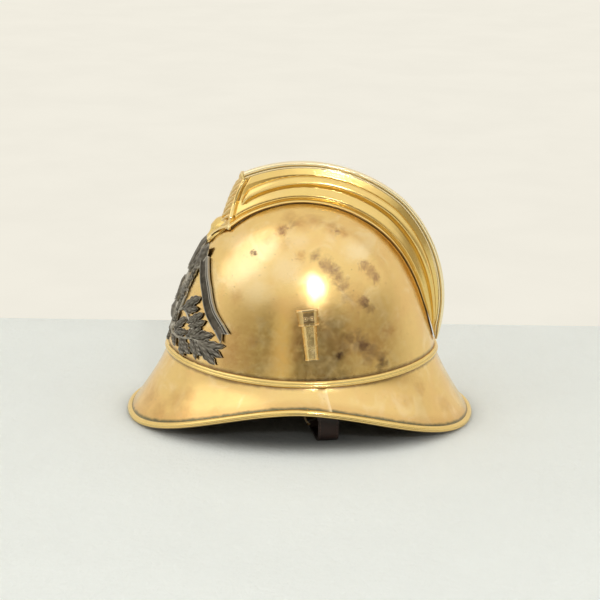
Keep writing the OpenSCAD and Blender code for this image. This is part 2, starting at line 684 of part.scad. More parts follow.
// Liner: a hoop, a leaning leather band, tongues and the lace that draws them together
hoop_low = -1;
hoop_high = 15;
band_low = 6;
module hoop_ring(d, t, z0, z1, lean0 = 0, lean1 = 0) {
    sweep([for (i = [0:stations - 1]) let (a = station(i)) between(
        [base_point(a, -d - lean1, z1), base_point(a, -d - lean0, z0)],
        [base_point(a, -d - lean1 - t, z1), base_point(a, -d - lean0 - t, z0)]
    )], closed = true);
}
module liner_hoop() {
    color("#b59a55") difference() {
        hoop_ring(hoop_d, hoop_t, hoop_low, hoop_high);
        base_holes();
    }
}
module liner_band() {
    d = layer_d;
    function face(a, t) = [
        base_point(a, -d - liner_lean - t, liner_h),
        base_point(a, -d - t, hoop_high),
        base_point(a, -d - t, band_low)
    ];
    color(LEATHER) sweep([for (i = [0:stations - 1]) between(face(station(i), 0), face(station(i), leather_t))],
        closed = true);
}
crown_z = 172;
crown_r = 22;
tongue_rows = 7;
module liner_tongues() {
    d = layer_d + leather_t + seat;
    step = 360 / tongues;
    // Lower end on the band, then a dome to the crown
    function tongue_point(a, v, t) =
        let (
            low = base_point(a, -d - t - liner_lean * (v < 0 ? 0.62 : 1), v < 0 ? liner_h - 8 : liner_h),
            c = cos(90 * max(v, 0)),
            s = sin(90 * max(v, 0)),
            dir = [cos(a), sin(a)],
            top = [dir.x * (crown_r - 4), skull_y + dir.y * (crown_r - 4)]
        )
        v <= 0 ? low : [
            top.x + (low.x - top.x) * c, top.y + (low.y - top.y) * c,
            low.z + (crown_z - t * s - low.z) * s
        ];
    function half(v) = step / 2 * (0.9 - 0.28 * sin(90 * max(v, 0)));
    color(LEATHER) for (k = [0:tongues - 1])
        let (mid = step * (k + 0.5))
        sweep([for (v = [-1, 0, for (i = [1:tongue_rows]) i / tongue_rows * 0.93]) [
            tongue_point(mid - half(v), v, 0), tongue_point(mid + half(v), v, 0),
            tongue_point(mid + half(v), v, leather_t), tongue_point(mid - half(v), v, leather_t)
        ]]);
}
lace_r = 1.1;
module liner_lace() {
    color("#8a7a5c") translate([0, skull_y, crown_z + lace_r + 0.3])
        rotate_extrude($fn = 48) translate([crown_r + 3, 0]) circle(r = lace_r, $fn = 16);
}
liner_rivets_n = 10;
liner_rivet_dz = 10.5;
module liner_rivets() {
    color(BRASS) for (i = [0:liner_rivets_n - 1])
        let (t = 360 * (i + 0.5) / liner_rivets_n)
        on_skull(t, base_at(t) + liner_rivet_dz, -layer_d - leather_t - 1.2)
            cylinder(r1 = 1.8, r2 = 2.6, h = 0.8, $fn = stud_fn);
}

// Chin strap: each half hangs on a ring, which turns in a staple on the hoop's inside.
// In the strap's frame x points out of the helmet, y runs along the hinges, z is up
strap_a = asin((strap_y - skull_y) / skull_a);
strap_yaw = atan2(sin(strap_a) / skull_a, cos(strap_a) / skull_b);
staple_bulge = 1.9;
staple_rivet_y = 8;
module strap_frame() {
    translate(base_point(strap_a, 0, 0)) rotate([0, 0, strap_yaw]) translate([-layer_d - staple_bulge, 0, 0]) children();
}
plate_t = 1.2;
knuckle_x = -3;
knuckle_z = -5;
knuckle_r = 2.7;
knuckle_l = 11;
ring_drop = 9;
eye_z = knuckle_z - ring_drop;
eye_in = ring_r + play;
eye_out = eye_in + strap_t;
ground_gap = 0.4;
bend_r = 8;
// Upright coordinate of the ground in the strap's frame
ground = ground_gap - base_at(strap_a);
module hinge_rod(r, l) {
    rotate([90, 0, 0]) cylinder(r = r, h = l, center = true, $fn = 32);
}
module staple() {
    difference() {
        union() {
            translate([-plate_t, -11, knuckle_z + 3]) cube([plate_t, 22, 5]);
            translate([knuckle_x, -knuckle_l / 2, knuckle_z]) cube([-knuckle_x, knuckle_l, 4]);
            translate([knuckle_x, 0, knuckle_z]) hinge_rod(knuckle_r, knuckle_l);
        }
        translate([knuckle_x, 0, knuckle_z]) hinge_rod(eye_in, knuckle_l + 2);
        for (y = [-staple_rivet_y, staple_rivet_y]) translate([-2 * plate_t, y, rivet_dz]) rotate([90, 0, 90])
            cylinder(r = rivet_r + hole_play, h = 3 * plate_t, $fn = stud_fn);
    }
}
module strap_ring() {
    w = strap_w + 2 * play + 2 * ring_r;
    translate([knuckle_x, 0, knuckle_z]) {
        hinge_rod(ring_r, w);
        translate([0, 0, -ring_drop]) hinge_rod(ring_r, w);
        for (y = [-w / 2, w / 2]) {
            translate([0, y, -ring_drop]) cylinder(r = ring_r, h = ring_drop, $fn = 32);
            for (z = [0, -ring_drop]) translate([0, y, z]) sphere(r = ring_r, $fn = 32);
        }
    }
}
// Profile of a strap across its width: an eye on the ring, a drop, a bend and a run on the ground
module strap_profile(run, end_eye) {
    x0 = knuckle_x - strap_t / 2;
    bend_z = ground + strap_t + bend_r;
    difference() {
        union() {
            translate([knuckle_x, eye_z]) circle(r = eye_out, $fn = 48);
            translate([x0, bend_z]) square([strap_t, eye_z - bend_z]);
            intersection() {
                translate([x0 - bend_r, bend_z]) difference() {
                    circle(r = bend_r + strap_t, $fn = 64);
                    circle(r = bend_r, $fn = 64);
                }
                translate([x0 - bend_r, bend_z - bend_r - strap_t]) square(bend_r + strap_t);
            }
            translate([x0 - bend_r - run, ground]) square([run, strap_t]);
            if (end_eye > 0) translate([x0 - bend_r - run, ground + end_eye + strap_t]) circle(r = end_eye + strap_t, $fn = 48);
        }
        translate([knuckle_x, eye_z]) circle(r = eye_in, $fn = 48);
        if (end_eye > 0) translate([x0 - bend_r - run, ground + end_eye + strap_t]) circle(r = end_eye, $fn = 48);
    }
}
module strap_body(run, end_eye) {
    translate([0, strap_w / 2, 0]) rotate([90, 0, 0]) linear_extrude(strap_w) strap_profile(run, end_eye);
}
// Place of the buckle's bar in the strap's frame
bar_r = 1.2;
bar_x = knuckle_x - strap_t / 2 - bend_r - left_run;
bar_z = ground + bar_r + play + strap_t;
prong_gap = 4;
module chin_strap_left() {
    color(LEATHER) strap_frame() difference() {
        strap_body(left_run, bar_r + play);
        translate([bar_x - 10, -prong_gap / 2, ground - 1]) cube([17, prong_gap, 12]);
    }
}
hole_step = 9;
module chin_strap_right() {
    tip = knuckle_x - strap_t / 2 - bend_r - right_run;
    color(LEATHER) mirror([1, 0, 0]) strap_frame() {
        difference() {
            strap_body(right_run, 0);
            for (k = [0:4]) translate([tip + 6 + hole_step * k, 0, ground - 1]) cylinder(r = 1.5, h = 5, $fn = 24);
        }
        translate([tip + 0.01, 0, ground]) linear_extrude(strap_t) polygon([
            [0, strap_w / 2], [-7, strap_w / 4], [-10, 0], [-7, -strap_w / 4], [0, -strap_w / 2]
        ]);
    }
}
module staple_left() { color(BRASS) strap_frame() staple(); }
module staple_right() { color(BRASS) mirror([1, 0, 0]) strap_frame() staple(); }
module strap_ring_left() { color(BRASS) strap_frame() strap_ring(); }
module strap_ring_right() { color(BRASS) mirror([1, 0, 0]) strap_frame() strap_ring(); }
buckle_l = 18;
frame_t = 2.4;
module buckle_frame() {
    w = strap_w + 2 * play + frame_t;
    r = frame_t / 2;
    color(BRASS) strap_frame() translate([bar_x, 0, bar_z]) {
        hinge_rod(bar_r, w);
        translate([-buckle_l, 0, 0]) hinge_rod(r, w);
        for (y = [-w / 2, w / 2]) translate([0, y, 0]) {
            rotate([0, -90, 0]) cylinder(r = r, h = buckle_l, $fn = 24);
            for (x = [0, -buckle_l]) translate([x, 0, 0]) sphere(r = r, $fn = 24);
        }
    }
}
prong_r = 0.8;
module buckle_prong() {
    color(BRASS) strap_frame() translate([bar_x, 0, bar_z]) difference() {
        union() {
            hinge_rod(bar_r + play + 0.9, prong_gap - 2 * play);
            translate([0, 0, frame_t / 2 + prong_r + play]) rotate([0, -90, 0])
                cylinder(r = prong_r, h = buckle_l + 1, $fn = 24);
        }
        hinge_rod(bar_r + play / 2, prong_gap);
    }
}
keeper_h = 7;
module strap_keeper() {
    g = play;
    t = 1.4;
    w = strap_w + 2 * g;
    z = (eye_z - eye_out + ground + strap_t + bend_r) / 2;
    color(LEATHER) strap_frame() translate([knuckle_x, 0, z]) difference() {
        cube([strap_t + 2 * g + 2 * t, w + 2 * t, keeper_h], center = true);
        cube([strap_t + 2 * g, w, keeper_h + 2], center = true);
    }
}

skull_shell();
front_peak();
neck_guard();
base_bead();
brim_binding();
base_rivets();
crest_left_side();
crest_right_side();
crest_top_strip();
crest_front_plate();
crest_foot();
crest_studs();
crest_nuts();
badge();
badge_studs();
badge_nuts();
plume_socket();
plume_socket_collar();
socket_rivets();
liner_hoop();
liner_band();
liner_tongues();
liner_lace();
liner_rivets();
staple_left();
staple_right();
strap_ring_left();
strap_ring_right();
chin_strap_left();
chin_strap_right();
buckle_frame();
buckle_prong();
strap_keeper();
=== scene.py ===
# %% [markdown]
# # A brass fire helmet, stamped, riveted and worn
# The helmet is a set of sheet brass stampings: a skull, a brim in two parts, a hollow
# crest in two halves, a relief badge and a small socket for a plume. model.glb holds the
# rigid model, and this notebook dresses it: smooth skins over the faceted solids, old
# brass, dark silvered relief and leather.

# %% Load the model and keep its size
import bpy
import bmesh
import math
import numpy as np
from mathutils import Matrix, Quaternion, Vector


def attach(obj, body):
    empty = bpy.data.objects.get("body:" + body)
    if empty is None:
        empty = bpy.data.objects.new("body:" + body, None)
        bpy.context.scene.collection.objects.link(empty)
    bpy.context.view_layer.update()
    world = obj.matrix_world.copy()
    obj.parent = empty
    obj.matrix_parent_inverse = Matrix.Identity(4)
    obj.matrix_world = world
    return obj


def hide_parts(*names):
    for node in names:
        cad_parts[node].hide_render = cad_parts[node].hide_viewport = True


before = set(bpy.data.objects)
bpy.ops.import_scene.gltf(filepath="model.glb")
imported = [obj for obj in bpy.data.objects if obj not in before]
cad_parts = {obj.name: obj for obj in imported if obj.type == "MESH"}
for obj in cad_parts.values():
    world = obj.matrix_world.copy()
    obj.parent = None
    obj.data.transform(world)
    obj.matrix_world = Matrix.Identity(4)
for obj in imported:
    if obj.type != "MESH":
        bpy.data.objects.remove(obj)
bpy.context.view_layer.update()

# %% [markdown]
# Sizes are in millimetres. X points to the wearer's left, y to the back and z up. The
# first sizes are shared by the shapes and by the dirt that follows their edges.

# %% Main sizes
MM = 0.001
SKULL_A, SKULL_B, SKULL_TOP, SKULL_Y, SKULL_WALL = 131.5, 108.0, 217.0, 1.0, 1.2
BASE_Z, BASE_DIP, TAPER, SEAT = 69.5, 8.0, 0.3, 0.2
BRIM_A, BRIM_B, BRIM_RISE, BRIM_FLAT, BINDING_R = 167.75, 124.0, 36.0, 0.965, 3.2

# %% [markdown]
# The camera stands on the wearer's left, a little above the helmet. A long lens keeps
# the shapes true. The picture is square, so the lens and the sensor width alone give
# the angle of view.

# %% Camera
CAMERA_TARGET = Vector((0, -0.0011, 0.1125))
CAMERA_DISTANCE = 1.8
CAMERA_RISE = math.radians(16)
CAMERA_ROLL = Quaternion((0, 0, 1), math.radians(0.8))
camera_data = bpy.data.cameras.new("camera")
camera_data.lens = 110.2
camera_data.sensor_width = 36
camera = bpy.data.objects.new("camera", camera_data)
bpy.context.scene.collection.objects.link(camera)
camera.location = CAMERA_TARGET + CAMERA_DISTANCE * Vector(
    (math.cos(CAMERA_RISE), 0, math.sin(CAMERA_RISE)))
camera.rotation_euler = (
    (CAMERA_TARGET - camera.location).to_track_quat("-Z", "Y") @ CAMERA_ROLL).to_euler()
bpy.context.scene.camera = camera
bpy.context.scene.view_settings.view_transform = "Standard"

# %% [markdown]
# A finish is a small tree of shader nodes. The helpers below keep each tree short: put
# adds a node and gives one of its outputs, and such outputs can be added, multiplied and
# so on like numbers. All patterns use the object's own coordinates, which are metres
# here, so a scale of 100 makes patches of about a centimetre.

# %% Helpers for shader nodes
class Term:
    """Output of a shader node that takes part in sums like a number."""

    def __init__(self, socket):
        self.socket, self.id_data = socket, socket.id_data

    def __add__(self, other):
        return calc("ADD", self, other)

    def __sub__(self, other):
        return calc("SUBTRACT", self, other)

    def __rsub__(self, other):
        return calc("SUBTRACT", other, self)

    def __mul__(self, other):
        return calc("MULTIPLY", self, other)

    def __truediv__(self, other):
        return calc("DIVIDE", self, other)

    def __pow__(self, other):
        return calc("POWER", self, other)

    def __abs__(self):
        return calc("ABSOLUTE", self)


def feed(socket, value):
    """Gives an input a number, a vector, a colour or a term."""
    if isinstance(value, Term):
        socket.id_data.links.new(value.socket, socket)
    elif socket.type == "RGBA":
        socket.default_value = (*value, 1)
    else:
        socket.default_value = value


def put(where, kind, inputs=(), output=0, **settings):
    """Adds a node to the tree that where belongs to and gives one output."""
    node = where.id_data.nodes.new("ShaderNode" + kind)
    for key, value in settings.items():
        setattr(node, key, value)
    for key, value in dict(inputs).items():
        feed(node.inputs[key], value)
    return Term(node.outputs[output])


def calc(what, a, b=0.0):
    return put(a if isinstance(a, Term) else b, "Math", {0: a, 1: b}, operation=what)


def parts(vector):
    return [put(vector, "SeparateXYZ", {0: vector}, axis) for axis in range(3)]


def noise(at, scale, detail, rough, twist=0.0):
    return put(at, "TexNoise", {"Vector": at, "Scale": scale, "Detail": detail,
                                "Roughness": rough, "Distortion": twist})


def pointiness(at):
    """About 0.5 on a flat face, less in a hollow and more on an edge."""
    return put(at, "NewGeometry", output="Pointiness")


def step(value, low, high, to_low=0.0, to_high=1.0):
    """Smooth change from to_low to to_high while the value goes from low to high."""
    return put(value, "MapRange", {0: value, 1: low, 2: high, 3: to_low, 4: to_high},
               interpolation_type="SMOOTHSTEP")


def mix(share, a, b):
    """Mix of two colours by a share from 0 to 1."""
    return put(share, "Mix", {0: share, 6: a, 7: b}, 2, data_type="RGBA")


def wire(shader, **inputs):
    for key, value in inputs.items():
        feed(shader.inputs[key.replace("_", " ").title().replace("Ior", "IOR")], value)


def bump(shader, height, distance, strength, under=None):
    inputs = {"Height": height, "Distance": distance, "Strength": strength}
    if under:
        inputs["Normal"] = under
    normal = put(shader, "Bump", inputs)
    wire(shader, normal=normal)
    return normal


finish = {}


def new_finish(name):
    """Keeps a new material in finish and gives its shader and the surface's place."""
    finish[name] = material = bpy.data.materials.new(name)
    material.use_nodes = True
    nodes = material.node_tree.nodes
    nodes.clear()
    output = nodes.new("ShaderNodeOutputMaterial")
    shader = nodes.new("ShaderNodeBsdfPrincipled")
    material.node_tree.links.new(shader.outputs[0], output.inputs[0])
    return shader, put(shader, "TexCoord", output="Object")


# %% [markdown]
# Old brass is a metal with a thin uneven skin: orange and brown clouds where hands and
# smoke have been, small dark pits, and bright ridges, partly where cloths rub it and partly
# a painted highlight. The clouds on the skull lie where the real one shows them, so each
# is a soft ball in space, and noise frays its rim; the pale patches among them are a
# painted highlight. Faces that look down get painted shade. Bands follow the bead and the
# binding, dark beside the bead and orange and grey-green above the binding, so those two
# lines are worked out again from the coordinates.

# %% Brass
BRASS_CLEAN, BRASS_PALE, BRASS_WARM = (0.86, 0.61, 0.24), (0.96, 0.79, 0.48), (0.84, 0.53, 0.22)
BRASS_PAINTED_UNDERSHADE, BRASS_HOLLOW_DARK, VERDIGRIS = (0.52, 0.32, 0.08), (0.10, 0.065, 0.03), (0.10, 0.115, 0.07)
STAIN_ORANGE, STAIN_BROWN, STAIN_DARK = (0.62, 0.34, 0.12), (0.30, 0.165, 0.095), (0.13, 0.07, 0.05)


def stain_mask(at, spots, fray):
    """Largest of soft balls: each spot is (x, y, z, radius) in millimetres and a weight."""
    total = None
    for x, y, z, radius, weight in spots:
        far = put(at, "VectorMath", {0: at, 1: (x * MM, y * MM, z * MM)}, "Value",
                  operation="DISTANCE")
        one = step(far + fray, radius * 0.1 * MM, radius * 1.25 * MM, weight, 0.0)
        total = one if total is None else calc("MAXIMUM", total, one)
    return total


def above_bead(at):
    """Height above the skull's base line, in metres."""
    x, y, z = parts(at)
    u, v = (abs(x) * (1 / (SKULL_B * MM))) ** 2, (abs(y) * (1 / (SKULL_A * MM))) ** 2
    return z - (BASE_Z * MM - u / (u + v + 0.0001) * (BASE_DIP * MM))


def above_binding(at):
    """Height above the middle of the rolled binding, in metres."""
    x, y, z = parts(at)
    share = calc("MINIMUM", (abs(y) * (1 / (BRIM_A * BRIM_FLAT * MM))) ** 1.8, 1.0)
    return z - ((1.0 - share) ** 1.5 * (BRIM_RISE * MM) + BINDING_R * MM)


def brass(name, clean, rough, stains=(), pale=(), cloud=0.35, pits=0.5, hollow=0.7,
          dent=0.5, lines=False, edge=0.5, under=0.0):
    """Cloud, pits, hollow, edge and under are shares of colours, dent is a depth. Hollow darkens
    hollows, edge pales edges as wear and as a painted highlight, and under paints shade on faces
    that look down.
    """
    shader, at = new_finish(name)
    fine = noise(at, 150, 6, 0.65, 0.3)
    fray = (noise(at, 95, 7, 0.7, 0.5) - 0.5) * 0.022
    colour = mix(step(noise(at, 22, 5, 0.6, 0.6), 0.38, 0.66, 0, cloud), clean, BRASS_WARM)
    colour = mix(step(noise(at, 34, 4, 0.6, 1.2), 0.5, 0.72, 0, cloud * 0.8), colour, BRASS_PALE)
    # Pale patches on the skull: a painted highlight.
    if pale:
        colour = mix(stain_mask(at, pale, fray), colour, BRASS_PALE)
    for tone, spots in stains:
        patchy = step(noise(at, 160, 7, 0.75, 0.4), 0.30, 0.62, 0.5, 1)
        colour = mix(stain_mask(at, spots, fray) * patchy, colour, tone)
    # Bands that follow the bead and the binding: a dark one beside the bead, orange and grey-green
    # ones above the binding.
    if lines:
        ragged = (fine - 0.5) * 0.003
        high, low = abs(above_bead(at) + ragged), above_binding(at) + ragged
        colour = mix(step(high, 0.0030, 0.0068, 0.75, 0), colour, STAIN_DARK)
        colour = mix(step(low, 0.0045, 0.012, 0.45, 0), colour, STAIN_ORANGE)
        colour = mix(step(low, 0.0030, 0.0055, 0.9, 0), colour, VERDIGRIS)
    colour = mix(step(noise(at, 420, 3, 0.6), 0.66, 0.74, 0, pits), colour, STAIN_BROWN)
    pointed = pointiness(at)
    # Hollows turn darker.
    colour = mix(step(pointed, 0.40, 0.495, hollow, 0), colour, BRASS_HOLLOW_DARK)
    # Edges turn pale: partly rubbed wear, partly a painted highlight.
    if edge:
        colour = mix(step(pointed, 0.505, 0.56, 0, edge), colour, BRASS_PALE)
    # Faces that look down turn darker and browner: painted shade.
    if under:
        facing = parts(put(at, "NewGeometry", output="Normal"))[2]
        colour = mix(step(facing, -0.62, -0.12, under, 0), colour, BRASS_PAINTED_UNDERSHADE)
    wire(shader, base_color=colour, metallic=1.0,
         roughness=step(fine, 0.3, 0.75, rough * 0.8, rough * 1.35))
    dents = bump(shader, noise(at, 16, 2, 0.5), 0.0012, dent)
    bump(shader, noise(at, 900, 4, 0.7), 0.00005, 0.8, dents)


SKULL_STAINS = (
    (STAIN_ORANGE, (
        (52, -19, 197, 9, 0.8), (48, -2, 201, 11, 0.75), (44, 12, 204, 11, 0.7),
        (49, 28, 198, 10, 0.7), (49, 38, 195, 8, 0.75), (40, -12, 206, 10, 0.55),
        (55, -33, 188, 8, 0.4), (62, -16, 185, 8, 0.35), (71, -1, 176, 6, 0.75),
        (73, 83, 104, 8, 0.6), (97, -3, 112, 7, 0.6), (100, -2, 100, 8, 0.7),
        (102, -2, 88, 7, 0.6), (75, -61, 135, 8, 0.45), (93, -45, 98, 9, 0.4),
        (62, 65, 158, 12, 0.3), (84, 70, 94, 20, 0.4), (88, -63, 84, 18, 0.5),
        (-70, -30, 176, 12, 0.5), (-78, 30, 158, 18, 0.5), (-96, 10, 108, 20, 0.45),
        (-86, -56, 100, 14, 0.5), (-60, 66, 158, 14, 0.5), (93, -51, 80, 14, 0.4),
        (78, 50, 140, 16, 0.35), (48, -68, 168, 10, 0.3), (85, -58, 104, 8, 0.35))),
    (STAIN_BROWN, (
        (52, -19, 196, 5, 0.8), (70, 13, 175, 7, 0.75), (73, 22, 169, 9, 0.85),
        (75, 28, 164, 9, 0.8), (78, 35, 157, 8, 0.8), (80, 39, 149, 7, 0.6),
        (82, 43, 140, 7, 0.35), (63, 58, 164, 6, 0.75), (62, 65, 158, 7, 0.6),
        (61, 70, 153, 6, 0.7), (78, 58, 134, 7, 0.85), (78, 63, 127, 6, 0.8),
        (90, 57, 97, 11, 0.95), (92, 47, 103, 9, 0.7), (91, 54, 106, 8, 0.6),
        (87, 68, 89, 9, 0.75), (84, 75, 84, 8, 0.6), (99, 36, 86, 5, 0.85),
        (97, 42, 96, 9, 0.45), (87, 62, 82, 8, 0.5), (49, 33, 195, 5, 0.7),
        (47, -8, 200, 6, 0.4), (-76, 24, 162, 8, 0.7), (-80, 33, 152, 9, 0.6),
        (-98, 16, 98, 10, 0.7), (-88, -52, 96, 7, 0.6))),
    (STAIN_DARK, (
        (61, -44, 175, 3.6, 0.95), (60, -41, 177, 2.6, 0.8), (86, 77, 75, 6, 0.85),
        (84, 82, 76, 5, 0.6), (99, 36, 86, 3.4, 0.8), (78, 60, 130, 4, 0.6),
        (90, 57, 95, 5, 0.5))))
# Pale patches on the skull, a painted highlight: (x, y, z, radius) and a weight.
SKULL_PAINTED_HIGHLIGHTS = (
    (67, -53, 160, 30, 0.55), (63, -35, 179, 20, 0.5), (77, -16, 164, 20, 0.45),
    (80, -43, 144, 20, 0.5), (57, 50, 178, 16, 0.45), (62, -4, 188, 12, 0.35),
    (44, -62, 182, 16, 0.4))
BRIM_STAINS = ((STAIN_ORANGE, (
    (40, -146, 25, 16, 0.55), (66, -134, 20, 14, 0.6), (72, -119, 32, 14, 0.5),
    (80, -104, 40, 9, 0.45), (88, -109, 26, 12, 0.5), (105, -79, 32, 10, 0.35),
    (66, 115, 46, 8, 0.5), (85, 100, 40, 10, 0.35), (52, 140, 24, 12, 0.4))),)
brass("brass", BRASS_CLEAN, 0.20, SKULL_STAINS, SKULL_PAINTED_HIGHLIGHTS, cloud=0.5, lines=True)
brass("brim_brass", BRASS_CLEAN, 0.20, BRIM_STAINS, cloud=0.45, pits=0.3, lines=True)
# On the crest, faces that look down get painted shade.
brass("crest_brass", (0.85, 0.62, 0.22), 0.17, cloud=0.12, pits=0.2, hollow=0.9, dent=0.3,
      under=0.75)
# Paler brass for the ridge strip: a painted highlight along the crest's top.
brass("ridge_highlight_brass", (0.96, 0.84, 0.55), 0.20, cloud=0.1, pits=0.2, hollow=0.9, dent=0.2)
brass("plate_brass", (0.66, 0.47, 0.18), 0.30, cloud=0.6, pits=0.6, hollow=1.0)
brass("socket_brass", (0.86, 0.66, 0.30), 0.24, cloud=0.5, hollow=0.95)
brass("inner_brass", (0.52, 0.36, 0.15), 0.42, cloud=0.5, pits=0.8)
# Nearly black brass: painted shade on inner faces, inside the socket, under the crest's lip and on
# the collar's panel.
brass("painted_shade_brass", (0.11, 0.07, 0.03), 0.5, cloud=0.15, pits=0.8, edge=0)

# %% [markdown]
# The relief badge was silvered. The silver has gone dark, almost black in the hollows,
# and only its ridges are rubbed bright.

# %% Dark silvered relief
shader, at = new_finish("pewter")
pointed, cloudy = pointiness(at), noise(at, 130, 5, 0.6, 0.4)
colour = mix(step(cloudy, 0.35, 0.7), (0.065, 0.056, 0.043), (0.16, 0.14, 0.11))
colour = mix(step(pointed, 0.49, 0.60), colour, (0.50, 0.47, 0.40))
colour = mix(step(pointed, 0.38, 0.49, 0.9, 0), colour, (0.02, 0.018, 0.014))
wire(shader, base_color=colour, metallic=0.9, roughness=step(cloudy, 0.3, 0.7, 0.32, 0.55))
bump(shader, noise(at, 800, 4, 0.7), 0.00008, 0.8)

# %% [markdown]
# Leather is not a metal: its colour is its own and its gloss is broad. The grain is a
# cell pattern of a millimetre, bent by noise, and the worn edges are lighter. Thread and
# lace are two tones in slanting bands.

# %% Leather and thread
def leather(name, dark, light, rough):
    shader, at = new_finish(name)
    cells = put(at, "TexVoronoi", {"Vector": at, "Scale": 900.0}, feature="DISTANCE_TO_EDGE")
    cloudy = noise(at, 60, 5, 0.6, 0.5)
    worn = tuple(min(1, c * 2.2) for c in light)
    colour = mix(step(cloudy, 0.35, 0.7), dark, light)
    colour = mix(step(pointiness(at), 0.52, 0.62, 0, 0.5), colour, worn)
    wire(shader, base_color=colour, roughness=step(cloudy, 0.3, 0.7, rough, rough + 0.2))
    crease = bump(shader, noise(at, 45, 4, 0.6), 0.0012, 0.5)
    bump(shader, step(cells, 0.0, 0.12), 0.00012, 0.6, crease)


def twisted(name, dark, light):
    shader, at = new_finish(name)
    twist = put(at, "TexWave", {"Vector": at, "Scale": 420.0, "Distortion": 1.0},
                bands_direction="DIAGONAL")
    wire(shader, base_color=mix(twist, dark, light), roughness=0.9)
    bump(shader, twist, 0.0003, 0.9)


leather("leather", (0.009, 0.005, 0.004), (0.030, 0.013, 0.008), 0.46)
leather("liner_leather", (0.060, 0.030, 0.016), (0.16, 0.085, 0.045), 0.5)
twisted("lace", (0.22, 0.16, 0.10), (0.50, 0.42, 0.30))
twisted("thread", (0.05, 0.03, 0.02), (0.14, 0.09, 0.06))
print("finishes:", sorted(finish))

# %% [markdown]
# Most pieces are sheets: a grid of points, pushed along its normal to get a thickness.
# Rolls, straps and stems are swept: an outline carried along a line. The helpers take
# millimetres from numpy and give closed, smooth meshes.

# %% Helpers for sheets and sweeps
SMOOTH_ANGLE = math.radians(38)
UP = np.array([0, 0, 1.0])


def sind(a):
    return np.sin(np.radians(a))


def cosd(a):
    return np.cos(np.radians(a))


def unit(v):
    return v / np.maximum(np.linalg.norm(v, axis=-1, keepdims=True), 1e-9)


def grid(a, b):
    return np.meshgrid(a, b, indexing="ij")


def net(n, m):
    """Shares from 0 to 1 along a sheet and from -1 to 1 across it."""
    return grid(np.linspace(0, 1, n), np.linspace(-1, 1, m))


def quads(nu, nv, around=False, ring=False):
    """Faces of a grid that may be closed along either of its two ways."""
    i, j = grid(np.arange(nu if around else nu - 1), np.arange(nv if ring else nv - 1))
    k, m = (i + 1) % nu, (j + 1) % nv
    return np.stack([i * nv + j, k * nv + j, k * nv + m, i * nv + m], -1).reshape(-1, 4)


def piece(name, data, look="crest_brass", body="helmet", nodes=(),
          inside=None):
    """Makes a mesh piece from millimetres, gives it a finish and lets it ride. A sheet
    whose second grid of points is its inner side can have a finish of its own there."""
    points, faces = data
    mesh = bpy.data.meshes.new(name)
    mesh.from_pydata((np.asarray(points) * MM).tolist(), [], [list(f) for f in faces])
    mesh.materials.append(finish[look])
    if inside:
        mesh.materials.append(finish[inside])
        for face in mesh.polygons:
            face.material_index = int(min(face.vertices) >= len(points) / 2)
    bm = bmesh.new()
    bm.from_mesh(mesh)
    bmesh.ops.remove_doubles(bm, verts=bm.verts, dist=2e-6)
    bmesh.ops.dissolve_degenerate(bm, edges=bm.edges, dist=1e-7)
    bmesh.ops.recalc_face_normals(bm, faces=bm.faces)
    bm.to_mesh(mesh)
    bm.free()
    mesh.shade_smooth()
    mesh.set_sharp_from_angle(angle=SMOOTH_ANGLE)
    made = bpy.data.objects.new(name, mesh)
    bpy.context.scene.collection.objects.link(made)
    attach(made, body)
    if nodes:
        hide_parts(*nodes)
    return made


def sheet_data(outer, inner, around=False):
    """Closed shell between two grids of the same shape."""
    nu, nv = outer.shape[:2]
    n = nu * nv
    face = quads(nu, nv, around)
    i, j = np.arange(nu if around else nu - 1), np.arange(nv - 1)
    rims = [(i * nv + c, (i + 1) % nu * nv + c) for c in (0, nv - 1)]
    if not around:
        rims += [(r * nv + j, r * nv + j + 1) for r in (0, nu - 1)]
    walls = [np.stack([a, b, b + n, a + n], -1) for a, b in rims]
    points = np.concatenate([outer.reshape(-1, 3), inner.reshape(-1, 3)])
    return points, np.concatenate([face, face[:, ::-1] + n, *walls])


def tube_data(rows, closed=False):
    """Solid through a row of closed sections: rows[i] is a ring of points."""
    rows = np.asarray(rows)
    nu, nv = rows.shape[:2]
    faces = quads(nu, nv, closed, True).tolist()
    if not closed:
        ring = list(range(nv))
        faces += [ring, [(nu - 1) * nv + j for j in ring[::-1]]]
    return rows.reshape(-1, 3), faces


def sweep(lines, closed=False):
    """Solid between lines that run side by side, each from one point of an outline."""
    return tube_data(np.stack(list(lines), 1), closed)


def round_tube(line, side, up, turns, closed=False):
    """Round solid about a line. The lengths of side and up are its radii."""
    return sweep((line + side * cosd(a) + up * sind(a) for a in turns), closed)


def join_data(solids):
    points, faces, start = [], [], 0
    for p, f in solids:
        points.append(np.asarray(p))
        faces += [[v + start for v in face] for face in f]
        start += len(p)
    return np.concatenate(points), faces


def mirrored(data):
    points, faces = data
    return np.asarray(points) * (-1, 1, 1), [list(f)[::-1] for f in faces]


def roll(cx, cz, r, a0, a1, n):
    """Arc of an outline about a centre, from one angle to another."""
    a = np.linspace(a0, a1, n)
    return np.stack([cx + r * cosd(a), cz + r * sind(a)], -1)


def placer(origin, *axes):
    """Gives a function that puts x, y and z along three axes from an origin."""
    def place(x, y, z):
        xyz = np.broadcast_arrays(*(np.asarray(v, float) for v in (x, y, z)))
        return origin + sum(v[..., None] * axis for v, axis in zip(xyz, axes))
    return place


# %% [markdown]
# The skull is an oval that narrows upwards. Every other piece sits on it, so its formula
# comes first: an angle t goes round, 0 at the wearer's left and 270 at the front, and h
# goes from the base line up to the crown.

# %% Skull
ROUND = 288


def oval(t, b, a, n=2.0):
    c, s = cosd(t), sind(t)
    return b * np.sign(c) * np.abs(c) ** (2 / n), a * np.sign(s) * np.abs(s) ** (2 / n)


def base_at(t):
    return BASE_Z - BASE_DIP * cosd(t) ** 2


def narrowing(h):
    return (1 - TAPER * h) * np.sqrt(np.maximum(0, 1 - h ** 4))


